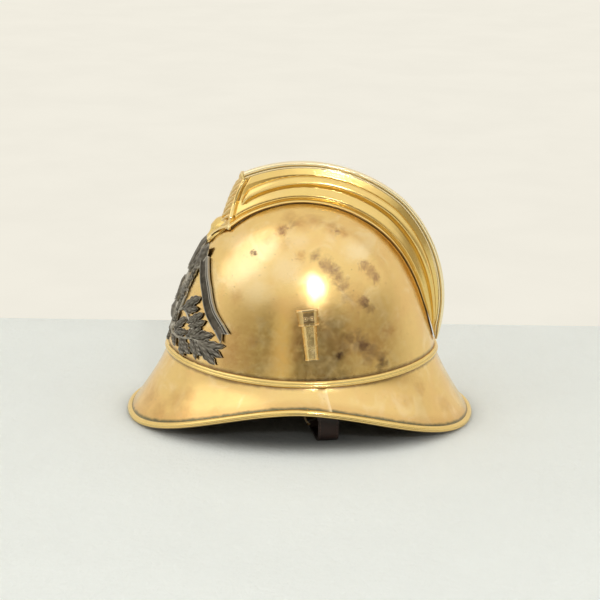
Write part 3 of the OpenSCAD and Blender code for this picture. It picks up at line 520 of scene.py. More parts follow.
def skull_point(t, h, d=0.0):
    t, h = np.broadcast_arrays(np.asarray(t, float), np.asarray(h, float))
    x, y = oval(t, SKULL_B + d, SKULL_A + d)
    z0 = base_at(t)
    return np.stack([x * narrowing(h), y * narrowing(h) + SKULL_Y,
                     z0 + h * (SKULL_TOP + d - z0)], -1)


def share_at(t, z):
    return (z - base_at(t)) / (SKULL_TOP - base_at(t))


def skull_normal(t, h):
    return unit(np.cross(skull_point(t + 0.5, h) - skull_point(t - 0.5, h),
                         skull_point(t, h + 0.005) - skull_point(t, h - 0.005)))


def base_point(t, d, dz):
    """Point at a height over the base line, a distance out from the skull."""
    t, dz = np.broadcast_arrays(np.asarray(t, float), np.asarray(dz, float))
    p = skull_point(t, np.maximum(0, dz) / (SKULL_TOP - base_at(t)), d)
    p[..., 2] = base_at(t) + dz
    return p


skull_t = np.arange(ROUND) * 360 / ROUND
grid_t, grid_h = grid(skull_t, 1 - (1 - np.linspace(0, 1, 84)) ** 1.7)
skull_sides = [skull_point(grid_t, grid_h, d) for d in (0, -SKULL_WALL)]
# The skull's inner face gets nearly black brass, painted shade.
piece("skull_skin", sheet_data(*(np.concatenate([rows[:, :1] - UP, rows], 1)
                                 for rows in skull_sides), True),
      "brass", nodes=["skull_shell"], inside="painted_shade_brass")

# %% [markdown]
# The brim is two stampings. The peak and the neck guard meet on each side in a lapped,
# soldered joint, so the peak's end stands a sheet's thickness proud of the guard. The
# sheet starts as a flange inside the skull and flares out to the rolled binding.

# %% Brim
BRIM_SHEET, FLANGE_H, FLANGE_D = 1.0, 8.0, SKULL_WALL + SEAT
SEAM_TOP, SEAM_LOW, GUARD_UNDER, PEAK_LAP = 10.3, 9.5, 2.5, 1.05
brim_v = np.linspace(0, 0.985, 36)


def edge_point(t):
    x, y = oval(t, BRIM_B, BRIM_A, 2.13)
    flat = np.minimum(1, (np.abs(y) / (BRIM_A * BRIM_FLAT)) ** 1.8)
    return np.stack([x, y, BINDING_R + BRIM_RISE * (1 - flat) ** 1.5], -1)


def brim_sheet(t_low, t_high, lap):
    """One stamping between two seam angles, which change a little down the brim."""
    across = np.linspace(0, 1, 200)
    t = t_low + (t_high - t_low) * across[:, None]
    foot = base_point(t, 0.4, -3.4)
    share = np.stack([brim_v ** 1.25, brim_v ** 1.25, brim_v], -1)
    rows = foot + (edge_point(t) - foot) * share
    n = unit(np.cross(np.gradient(rows, axis=0), np.gradient(rows, axis=1)))
    n = n * np.sign(np.sum(n * (rows - rows.mean((0, 1))), -1).mean())
    near = np.minimum(across, 1 - across) * (t_high - t_low).mean() * 2
    lift = lap * (np.clip(1.6 - near / 5, 0, 1)[:, None] * np.clip(brim_v * 9, 0, 1))[..., None]
    flange = [base_point(t[:, :1], -FLANGE_D - 0.5, z) for z in (FLANGE_H, -1.5)]
    return sheet_data(*(np.concatenate(
        [p + unit(p * (1, 1, 0)) * s * 0.5 for p in flange]
        + [rows + n * (s * BRIM_SHEET / 2 + lift)], 1) for s in (1, -1)))


seam = SEAM_TOP + (SEAM_LOW - SEAM_TOP) * brim_v
# The inner faces of both stampings get nearly black brass, painted shade.
piece("front_peak_skin", brim_sheet(180 - seam, 360 + seam, PEAK_LAP),
      "brim_brass", nodes=["front_peak"], inside="painted_shade_brass")
piece("neck_guard_skin", brim_sheet(seam - GUARD_UNDER, 180 - seam + GUARD_UNDER, 0.0),
      "brim_brass", nodes=["neck_guard"], inside="painted_shade_brass")

# %% [markdown]
# The bead on the base line and the binding on the edge are drawn profiles of two rolls
# with a fine groove between. A profile that runs round a path is a sweep.

# %% Bead and binding
bead_outline = [*roll(0.55, 1.35, 1.75, 120, -38, 12), *roll(0.85, -1.25, 1.85, 38, -110, 12),
                (0.0, -2.6), (0.0, 2.7)]
piece("base_bead_skin", sweep((base_point(skull_t, SEAT + x, z) for x, z in bead_outline), True),
      nodes=["base_bead"])
along = unit(edge_point(skull_t + 0.5) - edge_point(skull_t - 0.5))
outward = unit(along[:, [1, 0, 2]] * (1, -1, 0))
binding_turn = np.arange(0, 360, 9.0)
binding_r = BINDING_R * (1 - 0.20 * np.exp(-((binding_turn - 350) / 11) ** 2))
piece("brim_binding_skin", sweep((
    edge_point(skull_t) + outward * (r * cosd(a)) + UP * (r * sind(a))
    for a, r in zip(binding_turn, binding_r)), True), nodes=["brim_binding"])

# %% [markdown]
# The crest is two stamped halves. Seen from the side it is a sickle: an angle p turns
# about a point inside the helmet, 90 upwards and 0 to the back, and the height above the
# skull is shared out between lip, groove, flat, the raised gadroon and the upper flat.
# The gadroon starts in a round nose, so its relief comes from the distance to a line.

# %% Form of the crest
CREST_Y, CREST_Z, CREST_RISE = 0.4, 100.0, 34.0
CREST_FRONT, CREST_FOOT, CREST_TAIL = 113.0, 128.3, -10.4
LIP_X, TAIL_X, STRIP_H, STUD_R, CREST_WALL, TONGUE_H = 20.0, 5.5, 6.0, 2.0, 1.0, 3.0
CREST_R = SKULL_TOP + CREST_RISE - CREST_Z
SIDE_X = STUD_R + SEAT + CREST_WALL
FLARE = ((0, 1), (0.04, 1.0), (0.09, 0.92), (0.10, 0.82), (0.13, 0.72), (0.185, 0.65),
         (0.21, 0.62), (0.33, 0.45), (0.46, 0.30), (0.6, 0.22), (0.82, 0.14), (1, 0))
GADROON_LOW, GADROON_HIGH, GADROON_PEAK, GADROON_RELIEF = 0.455, 0.82, -0.12, 5.0
NOSE_U, NOSE_LENGTH, BEAD_U, GROOVE_U = 0.031, 330.0, 0.0100, 0.021


def polar(p, x, r):
    p, x, r = np.broadcast_arrays(*(np.asarray(v, float) for v in (p, x, r)))
    return np.stack([x, CREST_Y + r * cosd(p), CREST_Z + r * sind(p)], -1)


def in_skull(q, d):
    u, v = q[..., 0] / (SKULL_B + d), (q[..., 1] - SKULL_Y) / (SKULL_A + d)
    z0 = BASE_Z - BASE_DIP * u * u / np.maximum(0.0001, u * u + v * v)
    h = (q[..., 2] - z0) / (SKULL_TOP + d - z0)
    return (h < 1) & (np.sqrt(u * u + v * v) < narrowing(np.clip(h, 0, 1)))


def skull_r(p, x, d):
    """Distance from the crest's centre to the skull, found by halving a span."""
    p, x = np.broadcast_arrays(np.asarray(p, float), np.asarray(x, float))
    low, high = np.full(p.shape, 40.0), np.full(p.shape, 170.0)
    for _ in range(22):
        m = (low + high) / 2
        inside = in_skull(polar(p, x, m), d)
        low, high = np.where(inside, m, low), np.where(inside, high, m)
    return low


TAIL_R = skull_r(CREST_TAIL, 0, 3.4)


def ridge_r(p):
    drop = np.clip((50 - p) / (50 - CREST_TAIL), 0, 1) ** 1.11
    return CREST_R - (CREST_R - TAIL_R) * drop


def foot_x(p):
    wide = 4.5 * np.clip((p - 95) / 33, 0, 1) ** 1.3
    return TAIL_X + (LIP_X - TAIL_X) * np.clip((p - CREST_TAIL) / 70, 0, 1) ** 0.8 + wide


def strip_share(p):
    """Share of its full height that the ridge strip has room for."""
    return np.minimum(1, (ridge_r(p) - skull_r(p, 0, SEAT)) / (STRIP_H + TONGUE_H + 1.5))


def crest_angle(u, s):
    front = CREST_FOOT + (CREST_FRONT - CREST_FOOT) * s
    return front + (CREST_TAIL - front) * u


def smooth_lookup(s, table):
    x, y = np.array(table).T
    fine = np.linspace(0, 1, 400)
    kernel = np.hanning(9)
    line = np.pad(np.interp(fine, x, y), 4, mode="edge")
    return np.interp(s, fine, np.convolve(line, kernel / kernel.sum(), "valid"))


def crest_surface(u, s):
    """Outer face of the left half: u runs to the tail and s up from the skull."""
    p = crest_angle(u, s)
    # The lip stands off the skull a little at both ends of the crest
    stand = 1.1 * np.clip((p - 106) / 14, 0, 1) + 1.5 * np.clip((8 - p) / 12, 0, 1)
    low = skull_r(p, foot_x(p), SEAT + 0.1) + stand
    tall = ridge_r(p) - STRIP_H * strip_share(p) - SEAT - low
    # Gadroon: a full roll above its peak, a slope that turns in below, and a round nose
    half = (GADROON_HIGH - GADROON_LOW) / 2
    sink = 0.15 * np.exp(-np.maximum(0, u - 0.03) / 0.13)
    across = (s + sink - (GADROON_HIGH + GADROON_LOW) / 2) / half
    ahead = np.maximum(0, NOSE_U + half * tall / NOSE_LENGTH - u) * NOSE_LENGTH / (half * tall)
    above = (across - GADROON_PEAK) / (1 - GADROON_PEAK)
    below = (GADROON_PEAK - across) / (1 + GADROON_PEAK)
    reach = np.sqrt(np.maximum(below, 0) ** 2 + ahead ** 2)
    turn_in = np.clip(below / 0.25, 0, 1)
    relief = np.where(
        across > GADROON_PEAK, np.maximum(0, 1 - above ** 2 - ahead ** 2) ** 0.7,
        np.maximum(0, 1 - reach ** 2) ** 0.7 * (1 - turn_in)
        + np.maximum(0, 1 - reach ** 1.5) * turn_in)
    # Lip and groove: a thin roll on the skull and a channel above it
    lip = 0.9 * np.exp(-((s - 0.05) / 0.035) ** 2) - 1.5 * np.exp(-((s - 0.145) / 0.036) ** 2)
    # Roll along the front edge and the channel behind it
    front = np.sqrt(np.maximum(0, 1 - (u / (BEAD_U / 2) - 1) ** 2))
    channel = np.exp(-((u - (BEAD_U + GROOVE_U) / 2) / 0.0045) ** 2)
    channel = channel * np.clip((s - 0.07) * 20, 0, 1)
    x = SIDE_X + np.maximum(0, foot_x(p) - SIDE_X) * smooth_lookup(s, FLARE)
    x = x + np.minimum(1, tall / 26) * (GADROON_RELIEF * relief + lip) + 0.6 * front - 1.6 * channel
    return polar(p, np.maximum(x, SIDE_X - 0.6), low + tall * s)


# %% Crest halves
crest_u = np.concatenate([np.linspace(0, 0.06, 34), np.linspace(0.06, 1, 190)[1:]])
crest_s = np.concatenate([np.linspace(0, 0.16, 20), np.linspace(0.16, 0.9, 84)[1:],
                          np.linspace(0.9, 1, 8)[1:]])
crest_out = crest_surface(*grid(crest_u, crest_s))
crest_left = sheet_data(crest_out, crest_out - (CREST_WALL, 0, 0))
piece("crest_left_skin", crest_left, nodes=["crest_left_side"])
piece("crest_right_skin", mirrored(crest_left), nodes=["crest_right_side"])

# %% [markdown]
# A strip of two rolls closes the crest along its ridge. Towards the tail it shrinks with
# what height is left above the skull. A thin dark tube where the lip meets the skull is a
# painted shadow.

# %% Strip along the ridge, and the painted shadow line
strip_half = np.array([
    (0.0, 0.0), *roll(1.9, -2.0, 2.0, 90, -58, 12), (2.3, -4.1), (2.3, -4.45),
    *roll(3.0, -5.25, 0.75, 80, -80, 7), (2.4, -6.0), (2.0, -6.0)]) * (1.04, 1)
outline = np.concatenate([strip_half, (strip_half * (-1, 1))[::-1][:-1]])
strip_p = crest_angle(np.concatenate([
    np.linspace(-0.003, 0.05, 10), np.linspace(0.05, 1, 200)[1:]]), 1.0)
strip_top, room_share = ridge_r(strip_p), strip_share(strip_p)
# The ridge strip is paler brass, a painted highlight.
piece("crest_strip_skin", sweep(polar(strip_p, x, strip_top + z * room_share)
                                for x, z in outline), "ridge_highlight_brass", nodes=["crest_top_strip"])
# A thin dark tube along the lip's foot on both halves: a painted shadow.
SHADOW_LINE_R = 0.4
shadow_line_p = crest_angle(np.linspace(0.0, 0.985, 180), 0.0)
shadow_line_x = foot_x(shadow_line_p) + 0.35
shadow_line_low = skull_r(shadow_line_p, shadow_line_x, 0.1) + 0.3
line = sweep(polar(shadow_line_p, shadow_line_x + SHADOW_LINE_R * cosd(b), shadow_line_low + SHADOW_LINE_R * sind(b))
             for b in range(0, 360, 45))
piece("crest_shadow_line", join_data([line, mirrored(line)]), "painted_shade_brass")

# %% [markdown]
# The front of the crest is a pierced mask of leaves and scrolls, common on such helmets.
# It is one grid over the front opening: a bulge, a relief made from a few waves, and holes
# where the faces are left out before the sheet gets its thickness. A roll frames it.

# %% Front plate and its roll
PLATE_TOP, PLATE_BULGE, PLATE_SHEET = 0.88, 6.5, 0.9


def plate_edge(f):
    """Edge of the left half's front, drawn together over the last part of the height."""
    side = crest_surface(np.zeros_like(f), np.minimum(f / PLATE_TOP, 1))
    share = np.clip((f - PLATE_TOP) / (1 - PLATE_TOP), 0, 1)[..., None]
    return side + (polar(CREST_FRONT, SIDE_X, CREST_R - 0.6) - side) * share


plate_f, plate_q = net(121, 97)
plate_a = np.abs(plate_q)
plate_wave = np.cos(2 * np.pi * (plate_f * 9.0 - plate_a * 2.2))
plate_relief = 1.3 * np.exp(-(plate_a / 0.12) ** 2) + 1.7 * plate_wave * np.clip(
    plate_a * 6, 0, 1) * np.clip((0.97 - plate_a) * 8, 0, 1)
plate_holes = ((plate_wave < -0.55) & (plate_a > 0.30) & (plate_a < 0.90)
               & (plate_f > 0.05) & (plate_f < 0.84))
plate_rim = plate_edge(plate_f)
plate_full = PLATE_BULGE * (1 - plate_f) ** 3 + 1.0 + 4.2 * plate_f ** 0.7 * (1 - plate_f ** 8)
plate_out = (0.6 + plate_full * (1 - plate_a ** 2.2)
             + plate_relief * np.minimum(1, 5 * (1 - plate_f)))
plate = np.stack([(plate_rim[..., 0] + 0.5) * plate_q, plate_rim[..., 1] - plate_out,
                  plate_rim[..., 2]], -1).reshape(-1, 3)
plate_faces = quads(*plate_f.shape)
kept = ~plate_holes.reshape(-1)[plate_faces].all(1)
plate_piece = piece("crest_front_skin", (plate, plate_faces[kept]), "plate_brass",
                    nodes=["crest_front_plate"])
thickness = plate_piece.modifiers.new("thickness", "SOLIDIFY")
thickness.thickness = PLATE_SHEET * MM
thickness.offset = 0

rim_f = np.linspace(0, 1, 60)
rim = plate_edge(rim_f) + np.where(rim_f[:, None] > 0.985, (0, 0, 1.2), (0, 0, 0))
rim_along = unit(np.gradient(rim, axis=0))
rim_side = unit(np.cross(rim_along, (0, 1.0, 0)))
rim_roll = round_tube(rim + rim_side * 0.2, rim_side * 1.5,
                      unit(np.cross(rim_side, rim_along)) * 1.75, range(0, 360, 24))
piece("crest_front_roll", join_data([rim_roll, mirrored(rim_roll)]))

# %% [markdown]
# Below the plate a boss runs down to the badge: a rounded head, a waist and a leaf that
# lies on the skull.

# %% Foot of the crest
FOOT_TOP, FOOT_LOW = 196.3, 172.0


def front_y(x, z, d):
    r = narrowing((z - BASE_Z) / (SKULL_TOP + d - BASE_Z))
    return SKULL_Y - (SKULL_A + d) * np.sqrt(np.maximum(0.01, r ** 2 - (x / (SKULL_B + d)) ** 2))


foot_f, foot_q = net(48, 49)
foot_z = FOOT_TOP + (FOOT_LOW - FOOT_TOP) * foot_f
foot_wide = (9.5 + 8.0 * (1 - foot_f) ** 0.7 * np.clip(foot_f * 3 + 0.25, 0, 1)) * foot_q
foot_deep = smooth_lookup(foot_f, (
    (0, 7), (0.03, 12), (0.09, 13.8), (0.2, 12.9), (0.36, 10.8), (0.5, 7.2), (0.62, 5.4),
    (0.9, 3.2), (1, 2)))
foot_flute = 0.7 * np.cos(foot_q * 22) * np.clip(4 * (1 - foot_f), 0, 1) * np.clip(
    foot_f * 4 - 0.8, 0, 1)
foot_back = np.stack([foot_wide, front_y(foot_wide, foot_z, SEAT), foot_z], -1)
foot_out = 1 + (foot_deep + foot_flute) * (1 - foot_q ** 2)
piece("crest_foot_skin", sheet_data(foot_back - foot_out[..., None] * (0, 1, 0), foot_back),
      nodes=["crest_foot"])

# %% [markdown]
# The badge is an openwork relief: sprays of laurel, a ribbon with a raised border, and
# in the middle a flaming grenade before crossed axes. Each part is drawn flat, in
# millimetres to the right and up, and then laid on the skull: the point moves round and
# up the skull by those distances, and its height goes along the skull's normal. Ribbon
# and stems are swept along points of an angle from the front and a height.

# %% Laying flat shapes on the skull
BADGE_GAP = 0.4


def laid(place, x, y, top, low=0.0, around=False):
    """Relief over flat points between two heights, laid at a place: an angle g from the
    front, a height z and a turn."""
    g, z, turn = place
    across, up = x * cosd(turn) - y * sind(turn), x * sind(turn) + y * cosd(turn)
    t0, h0 = 270.0 + g, share_at(270.0 + g, z)
    rise = skull_point(t0, h0 + 0.005) - skull_point(t0, h0 - 0.005)
    h = h0 + up / (np.linalg.norm(rise) / 0.01)
    t = t0 + across / np.linalg.norm(skull_point(t0 + 0.5, h) - skull_point(t0 - 0.5, h), axis=-1)
    skin, n = skull_point(t, h), skull_normal(t, h)
    return sheet_data(*(skin + n * (BADGE_GAP + np.broadcast_to(height, x.shape))[..., None]
                        for height in (top, low)), around)


def leaf_data(g, z, turn, length, width, thick=2.4, rise=0.0, curl=0.0, lobes=0.14):
    """Lobed leaf with a midrib and side veins, its tip a little lifted and its line bent."""
    f, q = net(25, 15)
    own = math.sin(g * 12.9 + turn * 0.7)
    half = width * 0.56 * np.sin(np.pi * f ** 0.85) ** 0.7
    half = np.maximum(half * (1 + lobes * np.cos(2 * np.pi * (3.6 * f + 0.1 * own))), 0.05)
    vein = 0.34 * np.cos(2 * np.pi * (f * 3.6 - np.abs(q) * 0.7)) * (1 - np.exp(-(q / 0.25) ** 2))
    body = thick * (0.30 + 0.70 * np.sin(np.pi * np.minimum(1, np.abs(q) + 0.28)) ** 0.8)
    wave = 0.5 * np.sin(2 * np.pi * f * 1.3 + 2 * own) * q
    lifted = rise + curl * f ** 2
    top = body * np.minimum(1, 4 * (1 - f) + 0.25) + vein + wave + 0.7 * np.exp(
        -(q / 0.12) ** 2) + lifted
    low = np.minimum(np.maximum(lifted - 0.2, 0.0), top - 0.3)
    return laid((g, z, turn), f * length, half * q + 0.05 * own * length * np.sin(np.pi * f),
                top, low)


def band_data(path, half, profile):
    """Profile (across, height) carried along points of angle and height on the skull."""
    path = np.array(path, float)
    k = np.linspace(0, len(path) - 1, 10 * len(path))
    g, z = (np.interp(k, np.arange(len(path)), line) for line in path.T)
    for _ in range(3):
        g[1:-1], z[1:-1] = (a[:-2] / 4 + a[1:-1] / 2 + a[2:] / 4 for a in (g, z))
    t, h = 270 + g, share_at(270 + g, z)
    middle, n = skull_point(t, h), skull_normal(t, h)
    side = unit(np.cross(n, np.gradient(middle, axis=0)))
    return sweep(middle + side * (x * half) + n * (BADGE_GAP + y) for x, y in profile)


# %% Bands from the crest's lip to the badge
band = band_data(
    ((21.4, 190.5), (16.8, 188), (11.5, 185), (7.9, 181.2), (6.2, 177.5), (6.0, 173.2)), 2.3,
    ((-1, 1.4), (-1, 3.0), (-0.6, 3.9), (0, 4.1), (0.6, 3.9), (1, 3.0), (1, 1.4)))
piece("crest_foot_bands", join_data([band, mirrored(band)]))

# %% Badge
RIBBON = ((22, 160), (27, 153), (32, 144), (36.5, 135.5), (40.3, 125.5), (44, 117), (47.5, 111),
          (50.6, 105.8))
RIBBON_HALF, TAIL_TURN, STEM_HALF = 6.0, -43, 1.3
RIBBON_PROFILE = (
    (-1, 0.6), (-1, 2.8), (-0.95, 3.2), (-0.86, 3.2), (-0.80, 2.4), (-0.74, 2.4), (-0.70, 2.0),
    (-0.1, 2.3), (0.36, 2.0), (0.42, 3.0), (0.50, 3.4), (0.60, 3.2), (0.66, 2.5), (0.72, 2.5),
    (0.78, 3.3), (0.88, 3.5), (0.96, 3.2), (1, 2.6), (1, 0.6))
STEM_PROFILE = ((-1, 0), (-0.8, 1.4), (0, 2.0), (0.8, 1.4), (1, 0))
leaves = [leaf_data(*row) for row in (
    (16, 150.5, 84, 24, 19, 2.8, 0.6, 3, 0), (4, 143, 92, 34, 12, 2.8, 0.8, 2, 0),
    (8, 142, 84, 26, 9, 2.8, 0.3), (20, 111.8, 39, 29, 9.5, 2.4, 0.6, 1),
    (19.5, 111.5, 17, 26, 8, 2.4, 0.6, 1), (28, 101.5, 40, 24, 8, 2.4, 0.6, 1),
    (30, 99.5, 28, 23, 8, 2.4, 0.6, 1))]
for k in range(5):
    leaves.append(leaf_data(8 + 1.2 * k, 88 + 13 * k, 84, 17, 5, 1.8))
    leaves.append(leaf_data(9.5 + 1.4 * k, 94 + 11 * k, 56 + 5 * k, 16, 8, 2.4, 0.6, 0.8))
leaves += [leaf_data(*row, 2.4, 0.4, 1) for row in (
    (9, 87, -96, 13, 8.6), (14.5, 84, -31, 16, 7), (15.3, 89.6, 42, 27, 8), (16, 88, 17, 27, 7),
    (24.5, 86, -48, 19.5, 10), (25, 85.5, -25, 23, 8), (30, 89.5, 39, 22, 10),
    (34, 90.5, 20, 28, 9), (33.5, 88.5, -49, 21.5, 7), (37.5, 89, -46, 17, 7),
    (39.5, 89, 6, 31, 8), (39.5, 89, -15, 31.5, 8.5), (39.5, 88.5, -32, 30, 9))]
stems = [band_data(path, STEM_HALF, STEM_PROFILE) for path in (
    ((12, 127), (8, 135), (4, 143), (4, 152)),
    ((5, 86), (8, 95), (10, 108), (12, 122), (12, 136), (13.5, 152)),
    ((9, 86), (11, 93), (13, 103), (15, 113), (16.5, 123), (15, 133), (15, 143), (18, 151),
     (24, 156)),
    ((14, 108), (19, 112), (24, 110), (29, 104), (33, 98), (36, 92)),
    ((-1, 88), (5, 87), (12, 84.4), (18, 84.5), (25, 85.5), (31, 88.5), (36, 89.5), (41, 88.8)),
    ((8.5, 98), (13, 92.5), (18.5, 85)))]


def swallowtail():
    """Ribbon's end: two points with a notch between, turned in line with the ribbon."""
    f, q = net(22, 25)
    reach = 7.5 + np.where(q > 0, 5.0, 7.0) * np.abs(q)
    curl = 1.1 * np.sin(2.6 * f) * f
    top = np.interp(q, *np.array(RIBBON_PROFILE[1:-1]).T) + curl + 0.8 * np.exp(
        -((1 - f) * reach / 1.3) ** 2)
    return laid((*RIBBON[-1], TAIL_TURN), reach * f - 1, q * RIBBON_HALF, top, 0.6 + curl)


def grenade():
    """Ball with a belt and a neck."""
    place = (0, 102, 0)
    turn, r = grid(np.arange(0, 360, 10.0), np.linspace(11, 0.02, 14))
    x, y = r * cosd(turn), r * sind(turn)
    high = 5.2 * np.sqrt(np.maximum(0, 1 - (r / 11) ** 2)) + 0.5 * np.exp(-((y - 1.5) / 1.1) ** 2)
    f, q = net(7, 9)
    flame = 4.6 * np.sqrt(1 - 0.97 * q ** 2) + 0.5 * np.cos(f * 12)
    return [laid(place, x, y, high, around=True),
            laid(place, (3.4 + 0.8 * f) * q, 9 + 5 * f, flame)]


def axe(s):
    """Shaft and a curved blade, crossed with its twin by the sign s."""
    place = (0, 112, 90 + 38 * s)
    f, q = net(24, 9)
    shaft = laid(place, 58 * f - 30, 1.7 * q, 0.6 + 2.4 * np.sqrt(1 - 0.9 * q ** 2), 0.5)
    f, q = net(12, 13)
    blade = laid(place, 22 + (2.2 + 4.6 * f ** 1.4) * q,
                 s * (1 + 9 * f + 1.6 * f * (1 - q ** 2)),
                 2.6 - 1.1 * f ** 2 + 0.3 * np.exp(-((f - 0.72) / 0.08) ** 2), 0.5)
    return [shaft, blade]


half_badge = join_data(leaves + stems + [
    band_data(RIBBON, RIBBON_HALF, RIBBON_PROFILE), swallowtail()])
flames = [leaf_data(0, 109, 90 + a, 28 - abs(a) / 3, 9, 2.4, 1.4, 0.6, 0.05) for a in (-24, 0, 24)]
piece("badge_skin", join_data([half_badge, mirrored(half_badge)] + grenade() + axe(1) + axe(-1)
                              + flames), "pewter", nodes=["badge"])

# %% [markdown]
# The plume socket is a tapered tube of folded sheet with a flat front and two bevels. A
# collar clasps its mouth, with a roll above and below and a small pressed ornament. Both
# are outlines of six corners, rounded a little and carried upwards.

# %% Plume socket
SOCKET_T, SOCKET_Z, SOCKET_LEAN = 3.5, 107.0, 5.3
SOCKET_H, SOCKET_W, SOCKET_D, COLLAR_H = 47.0, 15.0, 9.0, 15.0
COLLAR_Y, LOW_W, LOW_D = SOCKET_H - COLLAR_H, SOCKET_W * 0.8, SOCKET_D * 0.8
SIX = ((-0.5, 0), (-0.5, 0.4), (-0.27, 1), (0.27, 1), (0.5, 0.4), (0.5, 0))
socket_h = share_at(SOCKET_T, SOCKET_Z)
socket_n = skull_normal(SOCKET_T, socket_h)
level = unit(np.cross(UP, socket_n))
steep = np.cross(socket_n, level)
socket_x = level * cosd(SOCKET_LEAN) + steep * sind(SOCKET_LEAN)
socket_y = steep * cosd(SOCKET_LEAN) - level * sind(SOCKET_LEAN)
socket_place = placer(skull_point(SOCKET_T, socket_h) + 0.3 * socket_n - socket_y * SOCKET_H / 2,
                      socket_x, socket_y, socket_n)


def socket_ring(w, d, y, cut):
    """Six corners at a height, each of the inner ones cut by a small curve."""
    corners = np.array(SIX) * (w, d)
    line = [corners[0]]
    for before, corner, after in zip(corners, corners[1:], corners[2:]):
        a, b = (corner + unit(end - corner) * cut for end in (before, after))
        line += [(1 - k) ** 2 * a + 2 * k * (1 - k) * corner + k ** 2 * b
                 for k in np.linspace(0, 1, 4)]
    line = np.array([*line, corners[-1]])
    return socket_place(line[:, 0], y, line[:, 1])


def socket_shell(levels, wall):
    """Tube through levels of width, depth and height, open above and below."""
    return sheet_data(*(np.stack([socket_ring(w - 2 * t, d - t, y, cut) for w, d, y in levels], 1)
                        for t, cut in ((0, 0.5), (wall, 0.3))))


def slab(half, y0, y1, z0, z1):
    return tube_data([socket_place((-half, half, half, -half), (y0, y0, y1, y1), z)
                      for z in (z0, z1)])


levels = [(LOW_W + 0.9, LOW_D + 0.45, 0.0), (LOW_W + 0.9, LOW_D + 0.45, 0.8), (LOW_W, LOW_D, 1.2)]
levels += [(LOW_W + (SOCKET_W - LOW_W) * k, LOW_D + (SOCKET_D - LOW_D) * k, SOCKET_H * k)
           for k in np.linspace(0.06, 1, 8)]
collar = [(SOCKET_W + 3 + 2 * k + more * 1.6, SOCKET_D + 1.4 + 0.6 * k + more,
           COLLAR_Y + (COLLAR_H + 0.5) * k) for k, more in (
    (0, 0.2), (0.03, 0.75), (0.10, 0.75), (0.13, 0),
    (0.84, 0), (0.87, 0.75), (0.96, 0.75), (1, 0.2))]
ornament = []
ring = np.arange(0, 360, 20.0)[:, None]
spoke = cosd(ring) * socket_x + sind(ring) * socket_y
for x in (-3.1, 3.1):
    eye = socket_place(x, COLLAR_Y + 7.0, SOCKET_D + 2.05)
    ornament += [round_tube(eye + spoke * 1.95, spoke * 0.25, socket_n * 0.5,
                            range(0, 360, 45), True),
                 tube_data([eye + spoke * r + socket_n * z for r, z in (
                     (0.95, -0.25), (0.85, 0.3), (0.5, 0.55), (0.05, 0.6))])]
for x in (-1.1, 1.1):
    ends = np.array([(x, 4.0), (-x, 10.0)])
    side = unit(ends[1] - ends[0])[::-1] * (-0.24, 0.24)
    ornament.append(tube_data([[socket_place(*(end + side * k + (0, COLLAR_Y)), SOCKET_D + z)
                                for k, z in ((-1, 1.4), (1, 1.4), (0.6, 2.3), (-0.6, 2.3))]
                               for end in ends]))
# The socket's inside, its back plate, the collar's inside and its panel get nearly black brass,
# painted shade.
piece("plume_socket_skin", socket_shell(levels, 0.9), "socket_brass", nodes=["plume_socket"],
      inside="painted_shade_brass")
piece("plume_socket_back", slab(6.5, 0, SOCKET_H, 0.0, 0.9), "painted_shade_brass")
piece("plume_socket_collar_skin", socket_shell(collar, 1.3), "socket_brass",
      nodes=["plume_socket_collar"], inside="painted_shade_brass")
piece("plume_socket_panel", slab(4.9, COLLAR_Y + 2.9, COLLAR_Y + 11.8, SOCKET_D + 1.2,
                                 SOCKET_D + 1.95), "painted_shade_brass")
piece("plume_socket_ornament", join_data(ornament), "socket_brass")

# %% Finish of the CAD pieces that stay
for node in ("base_rivets", "crest_studs", "crest_nuts", "badge_studs", "badge_nuts",
             "socket_rivets", "liner_hoop", "liner_rivets", "staple_left", "staple_right",
             "strap_ring_left", "strap_ring_right", "buckle_frame", "buckle_prong"):
    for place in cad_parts[node].material_slots:
        place.material = finish["inner_brass"]

# %% [markdown]
# The liner is a leather band on the hoop with eight tongues that close over the head.
# Each tongue is a soft sheet with rounded edges, a little hollow between its sides, and
# a lace of three twisted strands holds the tips together. Threads show as short capsules
# that stand a little proud of the leather.

# %% Liner band and threads
LAYER_D, LINER_H, LEAN, HOOP_TOP = 3.8, 32.0, 14.0, 15.0
CAPSULE = ((-1, 0.15), (-0.75, 0.75), (-0.3, 1), (0.3, 1), (0.75, 0.75), (1, 0.15))


def band_wall(t, z, thick):
    lean = LEAN * np.clip((z - HOOP_TOP) / (LINER_H - HOOP_TOP), 0, 1)
    return base_point(t, -LAYER_D - lean - thick, z)


def inward(points, rise=0.0):
    return unit((points - (0, SKULL_Y, 0)) * (-1, -1, rise))


def stitch(at, along, out, length=1.2, width=0.38):
    """One stitch: a capsule on the surface at a point, with its run and its normal."""
    along, out = unit(along), unit(out)
    side = np.cross(along, out)
    return tube_data([[at + along * (x * length) + side * (r * width * cosd(b))
                       + out * (r * width * sind(b) * 0.8) for b in range(0, 360, 60)]
                      for x, r in CAPSULE])


def threads(points, out, gap):
    """Stitches at even gaps along a line of points with normals."""
    run = np.concatenate([[0], np.cumsum(np.linalg.norm(np.diff(points, axis=0), axis=1))])
    places = np.arange(gap / 2, run[-1], gap)
    at, ahead, n = (np.stack([np.interp(x, run, column) for column in line.T], -1)
                    for line, x in ((points, places), (points, places + 0.4), (out, places)))
    return [stitch(a, b - a, c) for a, b, c in zip(at[:-1], ahead, n)]


